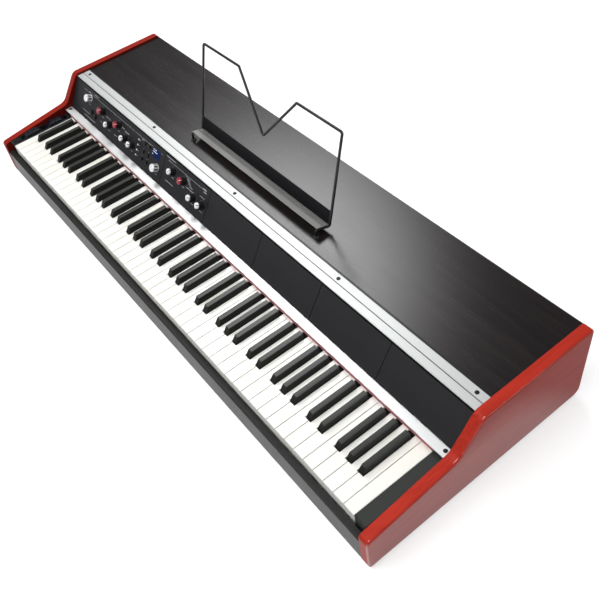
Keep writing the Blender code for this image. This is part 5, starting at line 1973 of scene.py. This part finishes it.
@dataclass
class BackPanel:
    """The connector plate and the power rocker.

    collar is a ring's profile, in (share of its rim, height over the plate).
    """

    model: Model
    edge: float = 0.0004
    jack_radius: float = 0.0034
    jack_spacing: float = 0.022
    jack_count: int = 5
    jack_rise: float = 0.0135
    row_drop: float = -0.0110
    data_places: tuple = (0.0490, 0.0270)
    jack_rim: float = 0.0020
    data_radius: float = 0.0078
    data_rim: float = 0.0010
    pin_count: int = 5
    pin_reach: float = 0.0045
    pin_outline: tuple = ((0.0, -0.0098), (0.0006, -0.0098), (0.0006, -0.004), (0.0, -0.0036))
    power_place: float = -0.0080
    power_radius: float = 0.0040
    power_rim: float = 0.0012
    collar: tuple = ((0.0, 0.0), (1.0, 0.0), (1.0, 0.0010), (0.6, 0.0014), (0.0, 0.0014))
    screw_size: Point = (0.0024, 0.0009, 0.001)
    screw_inset: float = 0.004

    def build(self) -> None:
        """Dress the plate and fit its rings, pins, screws and rocker."""
        low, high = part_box("jack_plate")
        self.centre = (low + high) / 2
        self.face = high.y
        self.model.softened("jack_plate", Finishes.block, self.edge)
        first = -self.jack_spacing * (self.jack_count - 1) / 2
        for index in range(self.jack_count):
            place = first + index * self.jack_spacing
            self._collar(f"jack_nut_{index + 1}", place, self.jack_rise, self.jack_radius,
                         self.jack_rim)
        for index, x in enumerate(self.data_places):
            self._collar(f"data_collar_{index + 1}", x, self.row_drop, self.data_radius,
                         self.data_rim)
            self._pins(index, x)
        self._collar("power_collar", self.power_place, self.row_drop, self.power_radius, self.power_rim)
        reach = (high.x - low.x) / 2 - self.screw_inset
        for index, x in enumerate((-reach, reach)):
            Screw(*self.screw_size).place(f"plate_screw_{index + 1}", self._stand(x, 0.0))
        self.model.softened("power_switch", Finishes.button, self.edge, 2, "power_switch")

    def _stand(self, x: float, rise: float) -> Matrix:
        """The matrix that stands a shape on the plate, facing away from the case."""
        place = (self.centre.x + x, self.face, self.centre.z + rise)
        return Matrix.Translation(place) @ Matrix.Rotation(-math.pi / 2, 4, "X")

    def _collar(self, name: str, x: float, rise: float, bore: float, rim: float) -> None:
        """A bright ring round a socket.

        Args:
            name: the piece's name.
            x: from the plate's middle.
            rise: above the plate's middle.
            bore: the inner radius.
            rim: the width of the ring.
        """
        ring = Shape.ring([(bore + rim * share, up) for share, up in self.collar])
        ring.placed(self._stand(x, rise)).piece(name, Finishes.nickel)

    def _pins(self, index: int, x: float) -> None:
        """The contacts in a round data socket, over half a circle.

        Args:
            index: the socket's place among the data sockets.
            x: from the plate's middle.
        """
        pins = Shape()
        for step in range(self.pin_count):
            turn = math.pi * (step / (self.pin_count - 1) - 0.5)
            pin = Shape.turned(self.pin_outline, 10)
            pins.joined(pin.moved((self.pin_reach * math.sin(turn), self.pin_reach * math.cos(turn), 0.0)))
        pins.placed(self._stand(x, self.row_drop)).piece(f"data_pins_{index + 1}", Finishes.nickel)


@dataclass
class Inside:
    """What the case hides: keybed, rod and circuit board."""

    model: Model
    chips: tuple = ((0.022, 0.022), (0.014, 0.020), (0.028, 0.010), (0.010, 0.010), (0.016, 0.012))
    chip_start: Flat = (0.04, 0.03)
    chip_step: Flat = (0.052, 0.03)
    chip_rise: float = 0.002
    chip_edge: float = 0.0002

    def build(self) -> None:
        """Finish the hidden parts and put chips on the board, in two rows by turns."""
        dressed = (("keybed_frame", Finishes.bed), ("key_hinge_rod", Finishes.rod),
                   ("main_board", Finishes.board))
        for node, finish in dressed:
            self.model.dress(node, finish)
        low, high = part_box("main_board")
        chips = Shape()
        for index, (wide, deep) in enumerate(self.chips):
            x = low.x + self.chip_start[0] + index * self.chip_step[0]
            y = low.y + self.chip_start[1] + (index % 2) * self.chip_step[1]
            chip = Shape.block((x, y, high.z), (x + wide, y + deep, high.z + self.chip_rise))
            chips.joined(chip.soften(self.chip_edge, 1))
        chips.piece("board_chips", Finishes.chip)


# Studio


@dataclass(frozen=True)
class Softbox:
    """One area light aimed at a target, bright in the middle and faint towards its edge."""

    name: str
    place: Point
    target: Point
    width: float
    height: float
    power: float
    roll: float = 0.0
    core: float = 0.9

    def build(self) -> None:
        """Hang the light."""
        data = bpy.data.lights.new(self.name, "AREA")
        data.shape = "RECTANGLE"
        data.size, data.size_y = self.width, self.height
        data.energy = self.power
        self._fade(data)
        aim = (Vector(self.target) - Vector(self.place)).to_track_quat("-Z", "Y")
        made = bpy.data.objects.new(self.name, data)
        made.location = self.place
        made.rotation_euler = (aim @ Quaternion((0.0, 0.0, 1.0), math.radians(self.roll))).to_euler()
        bpy.context.scene.collection.objects.link(made)

    def _fade(self, data: bpy.types.Light) -> None:
        """Let the light fall off from its core to its rim.

        Args:
            data: the light.
        """
        graph = Graph(data, "Emission")
        across = graph.node("ShaderNodeNewGeometry").outputs["Parametric"]
        middle = {0: across, 1: (0.5, 0.5, 0.0)}
        reach = graph.node("ShaderNodeVectorMath", {"operation": "DISTANCE"}, middle)
        share = Number(graph, reach.outputs["Value"]) * 2.0
        ease = {"clamp": True, "interpolation_type": "SMOOTHSTEP"}
        inputs = {"Value": share, "From Min": 1.0, "From Max": self.core}
        graph.set(strength=Number(graph, graph.node("ShaderNodeMapRange", ease, inputs).outputs[0]))


@dataclass
class Studio:
    """The camera, the pale floor and the soft lights."""

    eye: Point = (1.01349, -0.46555, 1.06712)
    turn: Point = (41.792, 6.991, 52.274)
    lens: float = 45.156
    sensor: float = 36.0
    clip_start: float = 0.05
    ambient: float = 0.28
    floor_half: float = 6.0
    floor_thick: float = 0.02
    floor_tone: float = 0.50
    floor_lift: float = 0.62
    sky: tuple = ((0.0, (1.0, 1.0, 1.0)), (0.12, (0.50, 0.50, 0.50)), (0.32, (0.12, 0.12, 0.125)),
                  (0.6, (0.06, 0.06, 0.065)))
    lamps: tuple = (
        Softbox("front_light", (0.1, -1.3, 2.8), (0.05, -0.05, 0.1), 2.6, 2.2, 112.0),
        Softbox("sheen_light", (-2.130, 1.300, 2.942), (0.22, 0.03, 0.162), 2.4, 2.4, 172.0, -45.0, 0.3),
        Softbox("edge_light", (3.2, 1.35, 1.95), (0.2, 0.0, 0.1), 1.6, 0.4, 13.0),
    )

    def build(self) -> None:
        """Set the studio up."""
        self._camera()
        self._floor()
        self._world()
        for lamp in self.lamps:
            lamp.build()
        bpy.context.scene.view_settings.view_transform = "Standard"

    def _camera(self) -> None:
        """The photograph's camera."""
        data = bpy.data.cameras.new("camera")
        data.lens = self.lens
        data.sensor_width = self.sensor
        data.sensor_fit = "HORIZONTAL"
        data.clip_start = self.clip_start
        made = bpy.data.objects.new("camera", data)
        made.location = self.eye
        made.rotation_euler = [math.radians(angle) for angle in self.turn]
        bpy.context.scene.collection.objects.link(made)
        bpy.context.scene.camera = made

    @staticmethod
    def _seen(graph: Graph) -> Number:
        """1 for a ray from the camera, off a gloss or through glass.

        Args:
            graph: the tree to add it to.

        Returns:
            1 or 0.
        """
        path = graph.node("ShaderNodeLightPath")
        camera, gloss, glass = (Number(graph, path.outputs[f"Is {kind} Ray"])
                                for kind in ("Camera", "Glossy", "Transmission"))
        return camera.larger(gloss).larger(glass)

    def _floor(self) -> None:
        """A wide pale floor that keeps the piano's shadow."""
        half = self.floor_half
        made = Shape.block((-half, -half, -self.floor_thick), (half, half, 0.0))
        data = bpy.data.meshes.new("studio_floor")
        made.mesh.to_mesh(data)
        made.mesh.free()
        graph = Graph(bpy.data.materials.new("studio_floor"), "Principled BSDF")
        dark, pale = (self.floor_tone,) * 3, (self.floor_tone + 0.02,) * 3
        graph.set(base_color=graph.mix(graph.noise(3.0), dark, pale), roughness=0.9)
        lit = graph.mix(self._seen(graph), (0.0, 0.0, 0.0), (self.floor_lift,) * 3)
        graph.set(emission_color=lit, emission_strength=1.0, specular_ior_level=0.0)
        data.materials.append(graph.owner)
        floor = bpy.data.objects.new("studio_floor", data)
        bpy.context.scene.collection.objects.link(floor)

    def _world(self) -> None:
        """A pale surround: white where it is seen, darker overhead where it is mirrored."""
        world = bpy.data.worlds.new("studio_world")
        bpy.context.scene.world = world
        graph = Graph(world, "Background")
        way = graph.node("ShaderNodeTexCoord").outputs["Generated"]
        rise = Number(graph, graph.node("ShaderNodeSeparateXYZ", {}, {0: way}).outputs["Z"])
        ramp = graph.node("ShaderNodeValToRGB", {"stops": self.sky}, {"Fac": rise})
        path = graph.node("ShaderNodeLightPath")
        mirrored = Number(graph, path.outputs["Is Glossy Ray"])
        graph.set(color=graph.mix(mirrored, (1.0, 1.0, 1.0), ramp.outputs["Color"]))
        graph.set(strength=self._seen(graph) * (1.0 - self.ambient) + self.ambient)


def main() -> None:
    """Build every sub-assembly in order."""
    logging.basicConfig(level=logging.INFO, format="%(name)s: %(message)s")
    model = Model(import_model())
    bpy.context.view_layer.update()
    assemblies = (Studio(), Cheeks(model), TopBoard(model), Trims(model), FrontRail(), Chassis(model),
                  EndBlocks(model), Keyboard(model), Controls(model), MusicRest(model), BackPanel(model),
                  Inside(model))
    for assembly in assemblies:
        LOG.info("building %s", type(assembly).__name__)
        assembly.build()


if __name__ == "__main__":
    main()
